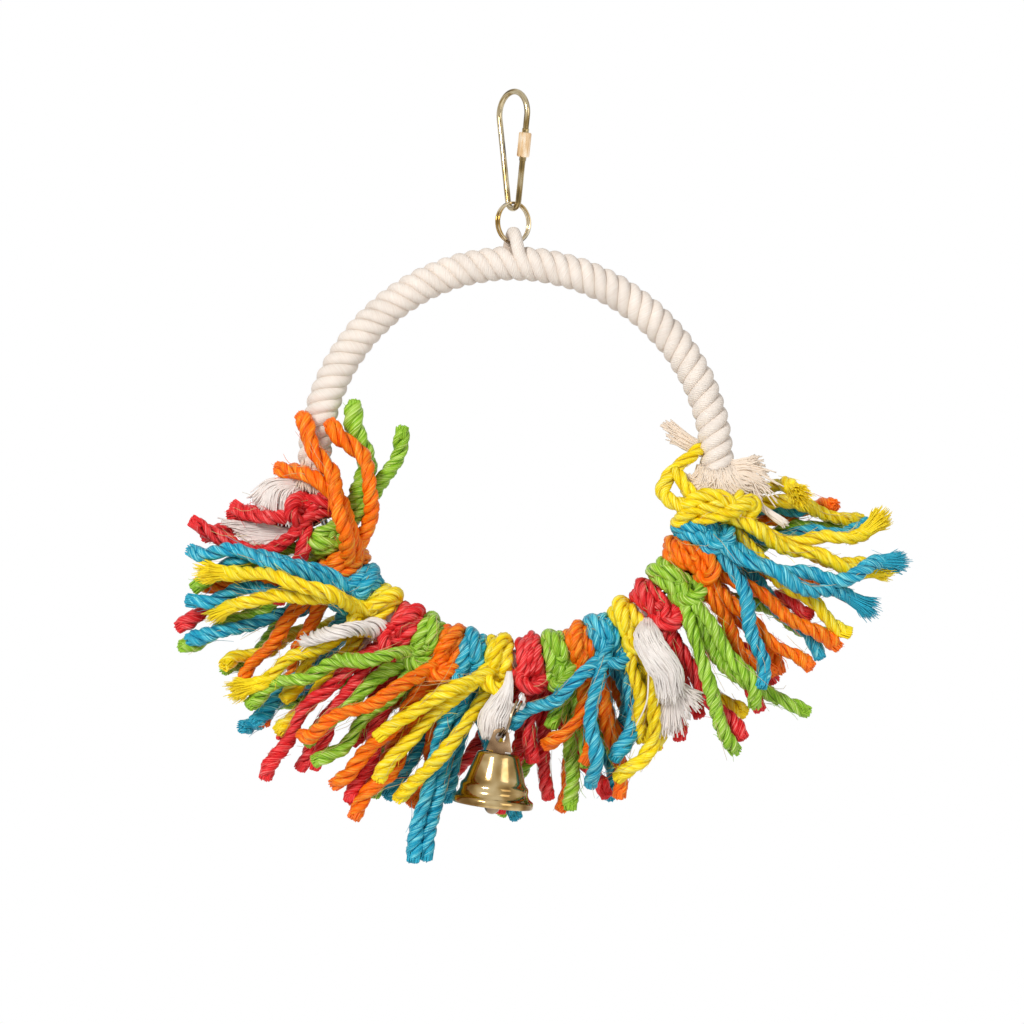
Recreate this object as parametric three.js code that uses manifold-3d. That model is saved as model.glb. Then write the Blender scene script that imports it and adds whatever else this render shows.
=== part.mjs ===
// Rope bird swing: a wire hoop with a cotton rope over its upper half and knotted twine ties along its
// lower half, hung on a split ring and a quick link, with a small bell at the bottom.
// Millimetres, +Z up. The origin is where the swing hangs: the inside of the link's crown.
// The hoop stands in the XZ plane, and its front faces -Y.

import * as THREE from 'three';
import { mergeVertices } from 'three/addons/utils/BufferGeometryUtils.js';
import Module from 'manifold-3d';

const wasm = await Module();
wasm.setup();

// Clearances
const CLEARANCE = 0.3;
const LAY_GAP = 0.4;
const LAY_SAG = 1.5;

// Quick link and its sleeve nut
const LINK_LENGTH = 50.3;
const LINK_WIRE = 2.45;
const LINK_CROWN_R = 9.05;
const LINK_FOOT_R = 3.4;
const LINK_TURN = 51;
const NUT_FLATS = 4.8;
const NUT_LENGTH = 10;
const NUT_DROP = 21.1;
const GATE_GAP = 6;
const STUB_D = 2.9;
const STUB_SHOW = 1.7;

// Split rings: one under the link, one at the bell
const RING_OD = 17.5;
const RING_WIRE = 1.1;
const COIL_GAP = 0.45;
const RING_JOG = 60;

// Hoop wire and cotton rope
const HOOP_R = 81.3;
const HOOP_WIRE = 3;
const ROPE_D = 14;
const STRAND_D = 5.2;
const ARCH_SPAN = 9;
const EYE_ROOM = 0.9;
const FRAY_D = 18;
const FRAY_LENGTH = 7;

// Twine ties
const TWINE_D = 5.0;
const KNOT_LANE = 4.1;
const KNOT_D = 18.4;
const FIRST_TIE = 12;
const END_STEP = 14.5;
const UPPER_SEAT = 68;
const LOWER_SEAT = 34;
const STEEPEST_OUT = 100;

// Cotton ties
const COTTON_LANE = 5;
const COTTON_KNOT_D = 17;
const LOOP_CORD = 2.2;
const LOOP_GAP = 5;
const COTTON_END_D = 5;

// Bell, its hanger and its clapper
const BELL_MOUTH_D = 33;
const BELL_CROWN_D = 17.8;
const BELL_HEIGHT = 21.7;
const BELL_WALL = 0.8;
const BELL_LEAN = 7;
const TAB_BASE = 10.7;
const TAB_TOP = 6.6;
const TAB_RISE = 9.6;
const TAB_THICK = 1.6;
const TAB_HOLE = 4;
const TAB_HOLE_RISE = 6.1;
const SHANK = 5;
const FOOT_DROP = 2.6;
const FOOT = 8;
const FOOT_HOLE = 2;
const FOOT_RIM = 0.9;
const BALL_D = 6.4;
const BALL_SHOW = 2;
const CLAPPER_WIRE = 1.1;
const CLAPPER_EYE = 4;
const RING_LEAN = 28;
const RING_REACH = 30;
const LOOP_PLACE = new THREE.Vector3(1, -15, -18.1);

// The ties from the right end of the rope round to the left end. spare is the clear way to the next tie.
// Each end has a lean from straight out of the hoop, a bend along its length, both in degrees and growing
// clockwise, and a reach in millimetres.
const TIES = [
  { yarn: 'yellow', spare: 2.8,
    front: [[37, -80, 66], [25, -28, 70], [43, -24, 73]],
    rear: [[-62, 83, 34], [-20, 30, 62], [18, -16, 66]] },
  { yarn: 'blue', spare: 2.2,
    front: [[24, -70, 77], [16, -26, 69], [32, 39, 63]],
    rear: [[-48, 20, 40], [-14, -18, 68], [20, 12, 66]] },
  { yarn: 'orange', spare: 2.2,
    front: [[2, 5, 66], [24, -19, 65], [44, -32, 54]],
    rear: [[-66, 31, 61], [-24, 18, 66], [16, 14, 55]] },
  { yarn: 'green', spare: 1.5,
    front: [[44, -70, 75], [40, -8, 68], [12, 16, 58]],
    rear: [[-71, 24, 72], [-26, 20, 66], [18, -10, 60]] },
  { yarn: 'red', spare: 0.7,
    front: [[28, -28, 64], [-4, 15, 56], [46, -12, 52]],
    rear: [[-60, 35, 60], [-18, 12, 57], [24, 10, 45]] },
  { yarn: 'cotton', spare: 0.7, front: [[54, -83, 36]], rear: [[34, -50, 44]] },
  { yarn: 'yellow', spare: 1.1,
    front: [[-7, 92, 64], [32, -11, 45], [14, 20, 47]],
    rear: [[-28, 22, 55], [0, 14, 46], [26, -12, 46]] },
  { yarn: 'blue', spare: 1.4,
    front: [[74, 13, 49], [48, -31, 58], [-8, 70, 47]],
    rear: [[-20, 16, 44], [4, 20, 40], [30, -8, 60]] },
  { yarn: 'orange', spare: 1.1,
    front: [[-3, 94, 40], [4, 31, 44], [-1, 16, 57]],
    rear: [[-24, 14, 46], [2, -14, 41], [22, 12, 62]] },
  { yarn: 'green', spare: 0.9,
    front: [[-28, 90, 28], [-13, 27, 41]],
    rear: [[-26, 18, 46], [0, 16, 61], [22, 24, 65]] },
  { yarn: 'red', spare: 0.7,
    front: [[20, -24, 36]],
    rear: [[-16, -14, 58], [-2, 6, 55], [12, 16, 59], [34, 16, 62]] },
  { yarn: 'cotton', spare: 0.7, front: [[36, -20, 24]], rear: [] },
  { yarn: 'yellow', spare: 0.6,
    front: [[50, -19, 66], [23, 20, 65], [66, -22, 52]],
    rear: [[-10, 14, 54], [20, 10, 64], [58, -34, 76]] },
  { yarn: 'blue', spare: 0.6,
    front: [[8, -10, 84], [5, -6, 79]],
    rear: [[-20, -16, 64], [-8, 13, 58], [16, 8, 62], [36, -12, 66]] },
  { yarn: 'orange', spare: 0.6,
    front: [[38, 11, 64], [14, 16, 70], [3, 20, 73]],
    rear: [[-14, 16, 60], [8, 10, 72], [32, -14, 42]] },
  { yarn: 'green', spare: 0.6,
    front: [[62, -29, 73], [12, 13, 62], [31, -14, 62]],
    rear: [[-10, 10, 62], [14, -12, 40], [38, 8, 66]] },
  { yarn: 'red', spare: 0.6,
    front: [[31, -42, 79], [22, -43, 66], [-20, 9, 68]],
    rear: [[-12, 14, 46], [14, -16, 70], [36, -40, 64]] },
  { yarn: 'cotton', spare: 0.6, front: [[56, -27, 32]], rear: [[20, -10, 30]] },
  { yarn: 'yellow', spare: 0.9,
    front: [[83, -42, 61], [70, -48, 62], [17, 0, 56]],
    rear: [[-12, 12, 60], [13, -23, 52], [28, -6, 62]] },
  { yarn: 'blue', spare: 2.2,
    front: [[71, -33, 67], [78, -63, 66], [53, -30, 67]],
    rear: [[-37, 51, 75], [-22, 20, 64], [18, 10, 68]] },
  { yarn: 'orange', spare: 3.1,
    front: [[122, -40, 63], [161, -99, 61], [126, -90, 56]],
    rear: [[-11, -18, 66], [-33, 1, 68], [18, 12, 56]] },
  { yarn: 'green', spare: 2.8,
    front: [[143, -54, 56], [172, -50, 52]],
    rear: [[-51, 39, 66], [-34, 42, 75], [10, -16, 54], [30, 10, 39]] },
  { yarn: 'red', spare: 1.2,
    front: [[-36, 110, 33], [-50, 120, 58], [-70, 27, 37]],
    rear: [[-27, 0, 70], [-6, 16, 47], [16, -14, 32]] },
  { yarn: 'cotton', spare: 0, front: [[20, -100, 20]], rear: [[-90, 151, 45]] },
];
const BELL_TIE = 11;

// Colours, roughness and metalness of the stuff that the pieces are made of
const STUFF = {
  link: [0xb0a878, 0.35, 1],
  nut: [0xe3cf9a, 0.35, 1],
  ring: [0xc7b06a, 0.3, 1],
  steel: [0xa8a9ab, 0.35, 1],
  darkSteel: [0x5d5750, 0.35, 1],
  brass: [0xc9a45a, 0.25, 1],
  cotton: [0xeee2d6, 0.95, 0],
  yellow: [0xecc70e, 0.6, 0],
  blue: [0x2a9db4, 0.6, 0],
  orange: [0xf8720f, 0.6, 0],
  green: [0x86bb38, 0.6, 0],
  red: [0xdb3530, 0.6, 0],
};

const rad = THREE.MathUtils.degToRad;
const swing = new THREE.Group();

function add(name, stuff, geometry, parent = swing) {
  const [color, roughness, metalness] = STUFF[stuff];
  const mesh = new THREE.Mesh(geometry, new THREE.MeshStandardMaterial({ color, roughness, metalness }));
  mesh.name = name;
  parent.add(mesh);
  return mesh;
}

// Joins and cuts of closed meshes
function toSolid(geometry) {
  const bare = geometry.clone();
  bare.deleteAttribute('normal');
  bare.deleteAttribute('uv');
  const merged = mergeVertices(bare, 1e-4);
  const vertProperties = new Float32Array(merged.attributes.position.array);
  const triVerts = new Uint32Array(merged.index.array);
  return new wasm.Manifold(new wasm.Mesh({ numProp: 3, vertProperties, triVerts }));
}

function toGeometry(solid) {
  const mesh = solid.getMesh();
  const geometry = new THREE.BufferGeometry();
  geometry.setAttribute('position', new THREE.BufferAttribute(new Float32Array(mesh.vertProperties), 3));
  geometry.setIndex(new THREE.BufferAttribute(new Uint32Array(mesh.triVerts), 1));
  geometry.computeVertexNormals();
  return geometry;
}

// Hollows that the joined pieces close in between them are filled
function join(geometries) {
  const joined = geometries.map(toSolid).reduce((whole, next) => whole.add(next));
  const bodies = joined.decompose().filter((body) => body.volume() > 0);
  return toGeometry(bodies.reduce((whole, next) => whole.add(next)));
}

function cut(geometry, tools) {
  return toGeometry(tools.map(toSolid).reduce((whole, tool) => whole.subtract(tool), toSolid(geometry)));
}

// A regular polygon section inside a circle of diameter d
function section(d, sides, bore = 0, boreSides = 6) {
  const ring = (radius, count) => Array.from({ length: count }, (_, i) => {
    const a = (2 * Math.PI * (i + 0.5)) / count;
    return new THREE.Vector2(radius * Math.cos(a), radius * Math.sin(a));
  });
  const shape = new THREE.Shape(ring(d / 2, sides));
  if (bore > 0) {
    shape.holes.push(new THREE.Path(ring(bore / 2, boreSides).reverse()));
  }
  return shape;
}

function tube(points, d, sides, steps, bore = 0) {
  const path = new THREE.CatmullRomCurve3(points);
  const options = { steps, extrudePath: path, bevelEnabled: false };
  return new THREE.ExtrudeGeometry(section(d, sides, bore), options);
}

// A line that is straight from each of its points to the next
class StraightRuns extends THREE.Curve {
  constructor(points) {
    super();
    this.points = points;
  }

  getPoint(t) {
    const runs = this.points.length - 1;
    const run = Math.min(Math.floor(t * runs), runs - 1);
    return this.points[run].clone().lerp(this.points[run + 1], t * runs - run);
  }

  getPointAt(t) {
    return this.getPoint(t);
  }

  getTangentAt(t) {
    return this.getTangent(t);
  }
}

function strandTube(points, d, sides) {
  const options = { steps: points.length - 1, extrudePath: new StraightRuns(points), bevelEnabled: false };
  return new THREE.ExtrudeGeometry(section(d, sides), options);
}

// A straight rod between two points
function rod(from, to, d, sides) {
  return tube([from, from.clone().lerp(to, 0.5), to], d, sides, 1);
}

// Directions level with the ground: along the link's plane, and across it along the hanger ring's plane
const linkAlong = new THREE.Vector3(Math.cos(rad(LINK_TURN)), -Math.sin(rad(LINK_TURN)), 0);
const ringAlong = new THREE.Vector3(Math.sin(rad(LINK_TURN)), Math.cos(rad(LINK_TURN)), 0);
const up = new THREE.Vector3(0, 0, 1);

// Heights, from the hang point down
const crownZ = LINK_WIRE / 2 - LINK_CROWN_R;
const footWireZ = LINK_WIRE * 1.5 - LINK_LENGTH;
const footZ = footWireZ + LINK_FOOT_R;
const ringMeanR = (RING_OD - RING_WIRE) / 2;
const coilOffset = (RING_WIRE + COIL_GAP) / 2;
const footRoom = LINK_FOOT_R - LINK_WIRE / 2 - CLEARANCE - RING_WIRE / 2;
const ringTopZ = footZ - Math.sqrt(footRoom ** 2 - coilOffset ** 2);
const ringZ = ringTopZ - ringMeanR;
const ringFootZ = ringZ - ringMeanR;
const ropeTopZ = ringFootZ - RING_WIRE / 2 - EYE_ROOM;
const hoopZ = ropeTopZ - ROPE_D / 2 - HOOP_R;

// Quick link: one wire bent into a pear, open in the leg that the sleeve nut closes
const legTilt = Math.asin((LINK_CROWN_R - LINK_FOOT_R) / (crownZ - footZ));
const legDown = linkAlong.clone().multiplyScalar(-Math.sin(legTilt)).addScaledVector(up, -Math.cos(legTilt));

function onLink(u, z) {
  return linkAlong.clone().multiplyScalar(u).setZ(z);
}

function onGateLeg(z) {
  const top = crownZ - LINK_CROWN_R * Math.sin(legTilt);
  return onLink(LINK_CROWN_R * Math.cos(legTilt) - (top - z) * Math.tan(legTilt), z);
}

const nutMiddle = onGateLeg(-NUT_DROP);
const alongGate = (distance) => nutMiddle.clone().addScaledVector(legDown, distance);

function linkBody() {
  const lower = alongGate(GATE_GAP / 2);
  const upper = alongGate(-GATE_GAP / 2);
  const path = new THREE.Path();
  const lowerU = lower.dot(linkAlong);
  const upperU = upper.dot(linkAlong);
  path.moveTo(lowerU, lower.z);
  path.lineTo(LINK_FOOT_R * Math.cos(legTilt), footZ - LINK_FOOT_R * Math.sin(legTilt));
  path.absarc(0, footZ, LINK_FOOT_R, -legTilt, Math.PI + legTilt, true);
  path.absarc(0, crownZ, LINK_CROWN_R, Math.PI + legTilt, -legTilt, true);
  path.lineTo(upperU, upper.z);
  const points = path.getSpacedPoints(64).map((p) => onLink(p.x, p.y));
  const wire = tube(points, LINK_WIRE, 8, 40);
  const stubLength = (NUT_LENGTH - GATE_GAP) / 2 + STUB_SHOW;
  const stub = (side) => {
    const tip = alongGate((side * GATE_GAP) / 2);
    return rod(tip, alongGate(side * (GATE_GAP / 2 + stubLength)), STUB_D, 12);
  };
  return join([wire, stub(1), stub(-1)]);
}

function sleeveNut() {
  const nutCorners = NUT_FLATS / Math.cos(Math.PI / 6);
  const prism = rod(alongGate(-NUT_LENGTH / 2), alongGate(NUT_LENGTH / 2), nutCorners, 6);
  const boreD = STUB_D + 2 * CLEARANCE;
  const bore = rod(alongGate(-NUT_LENGTH), alongGate(NUT_LENGTH), boreD, 12);
  return cut(prism, [bore]);
}

// A split ring: two coils of one wire, side by side, with a short jog from one to the other.
// across is the ring's axis and start the direction of its jog, both square to each other.
function splitRing(middle, across, start) {
  const side = across.clone().cross(start);
  const turn = 720 - RING_JOG;
  const count = 88;
  const points = [];
  for (let i = 0; i <= count; i += 1) {
    const a = RING_JOG / 2 + (turn * i) / count;
    const jog = THREE.MathUtils.smoothstep(a, 360 - RING_JOG / 2, 360 + RING_JOG / 2);
    const point = middle.clone();
    point.addScaledVector(start, ringMeanR * Math.cos(rad(a)));
    point.addScaledVector(side, ringMeanR * Math.sin(rad(a)));
    point.addScaledVector(across, coilOffset * (2 * jog - 1));
    points.push(point);
  }
  let least = Infinity;
  points.forEach((p, i) => points.slice(i + 12).forEach((q) => {
    least = Math.min(least, p.distanceTo(q) - RING_WIRE);
  }));
  console.log('split ring: least gap to itself', least.toFixed(2));
  return tube(points, RING_WIRE, 6, 40);
}

// Places on the hoop: angle in degrees, clockwise from +X as seen from the front
function onHoop(angle, out = 0, depth = 0) {
  const reach = HOOP_R + out;
  return new THREE.Vector3(reach * Math.cos(rad(angle)), depth, hoopZ - reach * Math.sin(rad(angle)));
}

function outward(angle) {
  return new THREE.Vector3(Math.cos(rad(angle)), 0, -Math.sin(rad(angle)));
}

function alongHoop(angle) {
  return new THREE.Vector3(-Math.sin(rad(angle)), 0, -Math.cos(rad(angle)));
}

// Hoop wire: closed ring
function hoopWire() {
  const wire = new THREE.TorusGeometry(HOOP_R, HOOP_WIRE / 2, 6, 40);
  wire.rotateX(Math.PI / 2);
  wire.translate(0, 0, hoopZ);
  return wire;
}

// A solid turned about the hoop's own line at an angle: profile points are [along, radius]
function turnedOnHoop(profile, angle, segments) {
  const points = [...profile, profile[0]].map(([along, radius]) => new THREE.Vector2(radius, along));
  const solid = new THREE.LatheGeometry(points, segments);
  const axes = new THREE.Matrix4().makeBasis(outward(angle), alongHoop(angle), new THREE.Vector3(0, 1, 0));
  solid.applyMatrix4(axes);
  const place = onHoop(angle);
  solid.translate(place.x, place.y, place.z);
  return solid;
}

const laneOf = (tie) => (tie.yarn === 'cotton' ? COTTON_LANE : 2 * KNOT_LANE);
const knotDOf = (tie) => (tie.yarn === 'cotton' ? COTTON_KNOT_D : KNOT_D);
const innerR = HOOP_R - (KNOT_D - KNOT_LANE) / 2;

// Each tie's place on the hoop, from the widths of the knots and the spare way between them
let reached = FIRST_TIE;
for (const [index, tie] of TIES.entries()) {
  tie.angle = reached;
  const next = TIES[index + 1] ?? tie;
  const pitch = (laneOf(tie) + laneOf(next)) / 2 + tie.spare;
  reached += THREE.MathUtils.radToDeg(pitch / innerR);
}
const lastTie = TIES[TIES.length - 1].angle;
const tieRoom = (tie) => THREE.MathUtils.radToDeg((laneOf(tie) / 2 + CLEARANCE) / innerR);
const ropeRight = FIRST_TIE - tieRoom(TIES[0]);
const ropeLeft = lastTie + tieRoom(TIES[TIES.length - 1]);
const wireBoreD = HOOP_WIRE + 2 * CLEARANCE;

// Cotton rope over the top of the hoop, with one strand lifted over the hanger ring and two frayed ends
function cottonRope() {
  const sweep = 360 - (ropeLeft - ropeRight);
  const points = [];
  for (let i = 0; i <= 60; i += 1) {
    points.push(onHoop(ropeLeft + (sweep * i) / 60));
  }
  const rope = tube(points, ROPE_D, 10, 32, wireBoreD);
  const archTop = ringFootZ + RING_WIRE / 2 + EYE_ROOM + STRAND_D / 2;
  const archFoot = ropeTopZ - ROPE_D / 4;
  const archWaist = ropeTopZ + EYE_ROOM;
  const archAt = (share, z) => linkAlong.clone().multiplyScalar((share * ARCH_SPAN) / 2).setZ(z);
  const arch = tube([
    archAt(1, archFoot),
    archAt(1, archWaist),
    archAt(0.64, archTop - STRAND_D / 4),
    archAt(0, archTop),
    archAt(-0.64, archTop - STRAND_D / 4),
    archAt(-1, archWaist),
    archAt(-1, archFoot),
  ], STRAND_D, 8, 14);
  const inside = wireBoreD / 2 + CLEARANCE;
  const sunk = ROPE_D / 2 - CLEARANCE;
  const frayRight = [[-FRAY_LENGTH, inside], [-FRAY_LENGTH, sunk], [0, FRAY_D / 2], [0, inside]];
  const frayLeft = [[0, inside], [0, FRAY_D / 2], [FRAY_LENGTH, sunk], [FRAY_LENGTH, inside]];
  return join([rope, arch, turnedOnHoop(frayRight, ropeRight, 10), turnedOnHoop(frayLeft, ropeLeft, 10)]);
}

// Where a tie's ends leave its knot: side is -1 at the front and 1 at the rear
function endRoute(tie, end, side, share, raised, d) {
  const [lean, bend, reach] = end;
  const seat = (knotDOf(tie) - d) / 2;
  const round = rad(raised ? UPPER_SEAT : LOWER_SEAT);
  const inOrOut = Math.abs(lean) > STEEPEST_OUT ? -1 : 1;
  const place = onHoop(tie.angle, inOrOut * seat * Math.cos(round), side * seat * Math.sin(round));
  place.addScaledVector(alongHoop(tie.angle), share * (laneOf(tie) - d) / 2);
  const points = [place];
  const steps = Math.max(2, Math.round(reach / END_STEP));
  for (let i = 0; i < steps; i += 1) {
    const heading = tie.angle + lean + (bend * (i + 0.5)) / steps;
    points.push(points[i].clone().addScaledVector(outward(heading), reach / steps));
  }
  return points;
}

// Closest places of two straight bars, as shares of their lengths
function nearest(p, q, a, b) {
  const u = q.clone().sub(p);
  const v = b.clone().sub(a);
  const w = p.clone().sub(a);
  const uu = u.dot(u);
  const uv = u.dot(v);
  const vv = v.dot(v);
  const uw = u.dot(w);
  const vw = v.dot(w);
  const flat = uu * vv - uv * uv;
  let s = flat > 1e-9 ? THREE.MathUtils.clamp((uv * vw - vv * uw) / flat, 0, 1) : 0.5;
  let t = THREE.MathUtils.clamp((uv * s + vw) / vv, 0, 1);
  s = THREE.MathUtils.clamp((uv * t - uw) / uu, 0, 1);
  t = THREE.MathUtils.clamp((uv * s + vw) / vv, 0, 1);
  const gap = w.addScaledVector(u, s).addScaledVector(v, -t);
  return { s, gap };
}

function barsOf(points, radius, tie, push = 0) {
  return points.slice(1).map((to, i) => ({ from: points[i], to, radius, tie, first: i === 0, push }));
}

const LAY_PASSES = 60;
const SNUG = 0.001;
const LEAST_SHARE = 0.3;

// A strand is laid over what already lies there: each stretch that would touch is moved to the front or the
// rear until it clears, and the strand bridges the hollows between.
function layOver({ points, side, radius, tie }) {
  for (let pass = 0; pass < LAY_PASSES; pass += 1) {
    let clear = true;
    for (let i = 0; i + 1 < points.length; i += 1) {
      for (const bar of laid) {
        const own = bar.tie === tie && (bar.knot || bar.first || i === 0);
        const need = radius + bar.radius + LAY_GAP;
        const { s, gap } = nearest(points[i], points[i + 1], bar.from, bar.to);
        if (own || gap.length() >= need - SNUG) {
          continue;
        }
        const push = bar.push || side;
        const level = Math.hypot(gap.x, gap.z);
        const shift = push * Math.sqrt(need * need - level * level) - gap.y;
        const share = i === 0 ? Math.max(s, LEAST_SHARE) : s;
        const weight = i === 0 ? share * share : share * share + (1 - share) ** 2;
        points[i + 1].y += (shift * share) / weight;
        points[i].y += i === 0 ? 0 : (shift * (1 - share)) / weight;
        clear = false;
      }
    }
    for (let i = 1; i + 1 < points.length; i += 1) {
      const between = (points[i - 1].y + points[i + 1].y) / 2;
      if (side * (between - points[i].y) > LAY_SAG) {
        points[i].y = between - side * LAY_SAG;
      }
    }
    if (clear) {
      break;
    }
  }
}

// The bell's loop on the bottom cotton tie, and the places of the bell's ring and of the bell
const bellTie = TIES[BELL_TIE];
const loopAt = onHoop(bellTie.angle).add(LOOP_PLACE);
const ringHang = new THREE.Vector3(-Math.sin(rad(RING_LEAN)), 0, -Math.cos(rad(RING_LEAN)));
const ringAcross = new THREE.Vector3(Math.cos(rad(RING_LEAN)), 0, -Math.sin(rad(RING_LEAN)));
const front = new THREE.Vector3(0, -1, 0);
const loopToRing = ringHang.clone().multiplyScalar(Math.cos(rad(RING_REACH)));
loopToRing.addScaledVector(front, Math.sin(rad(RING_REACH)));
const ringSeat = ringMeanR - (LOOP_CORD + RING_WIRE) / 2 - CLEARANCE;
const bellRingAt = loopAt.clone().addScaledVector(loopToRing, ringSeat);
const bellPivot = bellRingAt.clone().addScaledVector(ringHang, ringMeanR);

function bellLoop() {
  const half = (LOOP_GAP + LOOP_CORD) / 2;
  const seat = onHoop(bellTie.angle, COTTON_KNOT_D / 4, -COTTON_KNOT_D / 3);
  const at = (share, rise) => loopAt.clone().lerp(seat, rise).addScaledVector(ringAcross, share * half);
  const root = (share) => seat.clone().setX(seat.x + (share * (LOOP_CORD + CLEARANCE)) / 2);
  return [root(1), at(1, 0.55), at(1, 0.16), at(0.5, 0), at(-0.5, 0), at(-1, 0.16), at(-1, 0.55), root(-1)];
}

// What the loose ends lie on: knots, rope, the bell's loop and ring, and the bell itself
const laid = [];

function roundHoop(angle, offset, outerR, lobeR, tie) {
  const points = [];
  for (let i = 0; i <= 8; i += 1) {
    const a = (Math.PI * i) / 4;
    const place = onHoop(angle, (outerR - lobeR) * Math.cos(a), (outerR - lobeR) * Math.sin(a));
    points.push(place.addScaledVector(alongHoop(angle), offset));
  }
  laid.push(...barsOf(points, lobeR, tie).map((bar) => ({ ...bar, knot: true })));
}

for (const tie of TIES) {
  const lobeR = KNOT_LANE / 2;
  for (const side of [-1, 1]) {
    roundHoop(tie.angle, side * (laneOf(tie) / 2 - lobeR), knotDOf(tie) / 2, lobeR, tie);
  }
}
const frayLobe = FRAY_LENGTH / 4;
for (const [angle, inRope] of [[ropeRight, -1], [ropeLeft, 1]]) {
  roundHoop(angle, inRope * frayLobe, FRAY_D / 2, frayLobe, null);
  roundHoop(angle, (inRope * FRAY_LENGTH) / 2, (FRAY_D + ROPE_D) / 4, frayLobe, null);
}
const ropeInset = THREE.MathUtils.radToDeg(ROPE_D / 2 / HOOP_R);
const ropeSweep = 360 - ropeLeft + ropeRight - 2 * ropeInset;
const ropeLine = Array.from({ length: 25 }, (_, i) => onHoop(ropeLeft + ropeInset + (ropeSweep * i) / 24));
laid.push(...barsOf(ropeLine, ROPE_D / 2, null));
laid.push(...barsOf(bellLoop(), LOOP_CORD / 2, bellTie, 1));
const bellRingLine = Array.from({ length: 13 }, (_, i) => {
  const place = bellRingAt.clone().addScaledVector(ringHang, ringMeanR * Math.cos((Math.PI * i) / 6));
  return place.addScaledVector(front, ringMeanR * Math.sin((Math.PI * i) / 6));
});
laid.push(...barsOf(bellRingLine, coilOffset + RING_WIRE / 2, null, 1));
const bellDown = new THREE.Vector3(-Math.sin(rad(BELL_LEAN)), 0, -Math.cos(rad(BELL_LEAN)));
const onBellAxis = (depth) => bellPivot.clone().addScaledVector(bellDown, depth);
const mouthDepth = TAB_HOLE_RISE + BELL_HEIGHT;
const sway = new THREE.Vector3(BELL_MOUTH_D / 5, 0, 0);
laid.push(...barsOf([onBellAxis(mouthDepth / 3), onBellAxis(mouthDepth / 2)], BELL_CROWN_D / 2, null, 1));
const mouthLine = [onBellAxis(mouthDepth).sub(sway), onBellAxis(mouthDepth).add(sway)];
laid.push(...barsOf(mouthLine, BELL_MOUTH_D / 2, null, 1));

// The loose ends: at the front each tie lies over the one before it, from the left end of the rope to the
// right, except that the first cotton tie and the first blue one lie over all; at the rear the ends that
// lean most lie over the straighter ones.
const LAID_LAST = [TIES[5], TIES[1]];
const strands = [];
for (const tie of [...TIES.filter((other) => !LAID_LAST.includes(other)).reverse(), ...LAID_LAST]) {
  const d = tie.yarn === 'cotton' ? COTTON_END_D : TWINE_D;
  for (const [side, ends] of [[-1, tie.front], [1, tie.rear]]) {
    const fanned = [...ends].sort((a, b) => a[0] + a[1] / 2 - b[0] - b[1] / 2);
    for (const [rank, end] of fanned.entries()) {
      const share = fanned.length > 1 ? (2 * rank) / (fanned.length - 1) - 1 : 0;
      const points = endRoute(tie, end, side, share, rank % 2 === 1, d);
      strands.push({ tie, side, radius: d / 2, lean: Math.abs(end[0]), points });
    }
  }
}
const rearStrands = strands.filter((strand) => strand.side > 0).sort((a, b) => a.lean - b.lean);
for (const strand of [...strands.filter(({ side }) => side < 0), ...rearStrands]) {
  layOver(strand);
  laid.push(...barsOf(strand.points, strand.radius, strand.tie));
}

// Least gap from the ends of one tie to all that isn't that tie
function leastGap() {
  let least = Infinity;
  for (const { tie, points, radius } of strands) {
    for (const own of barsOf(points, radius, tie)) {
      for (const bar of laid.filter((other) => other.tie !== tie)) {
        const gap = nearest(own.from, own.to, bar.from, bar.to).gap.length() - radius - bar.radius;
        least = Math.min(least, gap);
      }
    }
  }
  return least;
}
console.log('ties: least gap between ends', leastGap().toFixed(2));

// A tie is a knot of two lanes turned round the hoop wire, with its loose ends
function tieSolid(tie) {
  const half = laneOf(tie) / 2;
  const outer = knotDOf(tie) / 2;
  const bore = wireBoreD / 2;
  const lobe = KNOT_LANE / 2;
  const flank = [half - lobe / 2, bore];
  const widest = [half, outer - lobe];
  const peak = [half - lobe, outer];
  const valley = [0, outer - lobe * 0.6];
  const mirrored = ([along, radius]) => [-along, radius];
  const rightHalf = tie.yarn === 'cotton' ? [[0, outer], widest, flank] : [valley, peak, widest, flank];
  const leftHalf = rightHalf.slice(1).reverse().map(mirrored);
  const knot = turnedOnHoop([...leftHalf, ...rightHalf], tie.angle, 8);
  const sides = 5;
  const own = strands.filter((strand) => strand.tie === tie);
  const ends = own.map(({ points, radius }) => strandTube(points, 2 * radius, sides));
  const loop = tie === bellTie ? [tube(bellLoop(), LOOP_CORD, 6, 14)] : [];
  return join([knot, ...ends, ...loop]);
}

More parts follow.
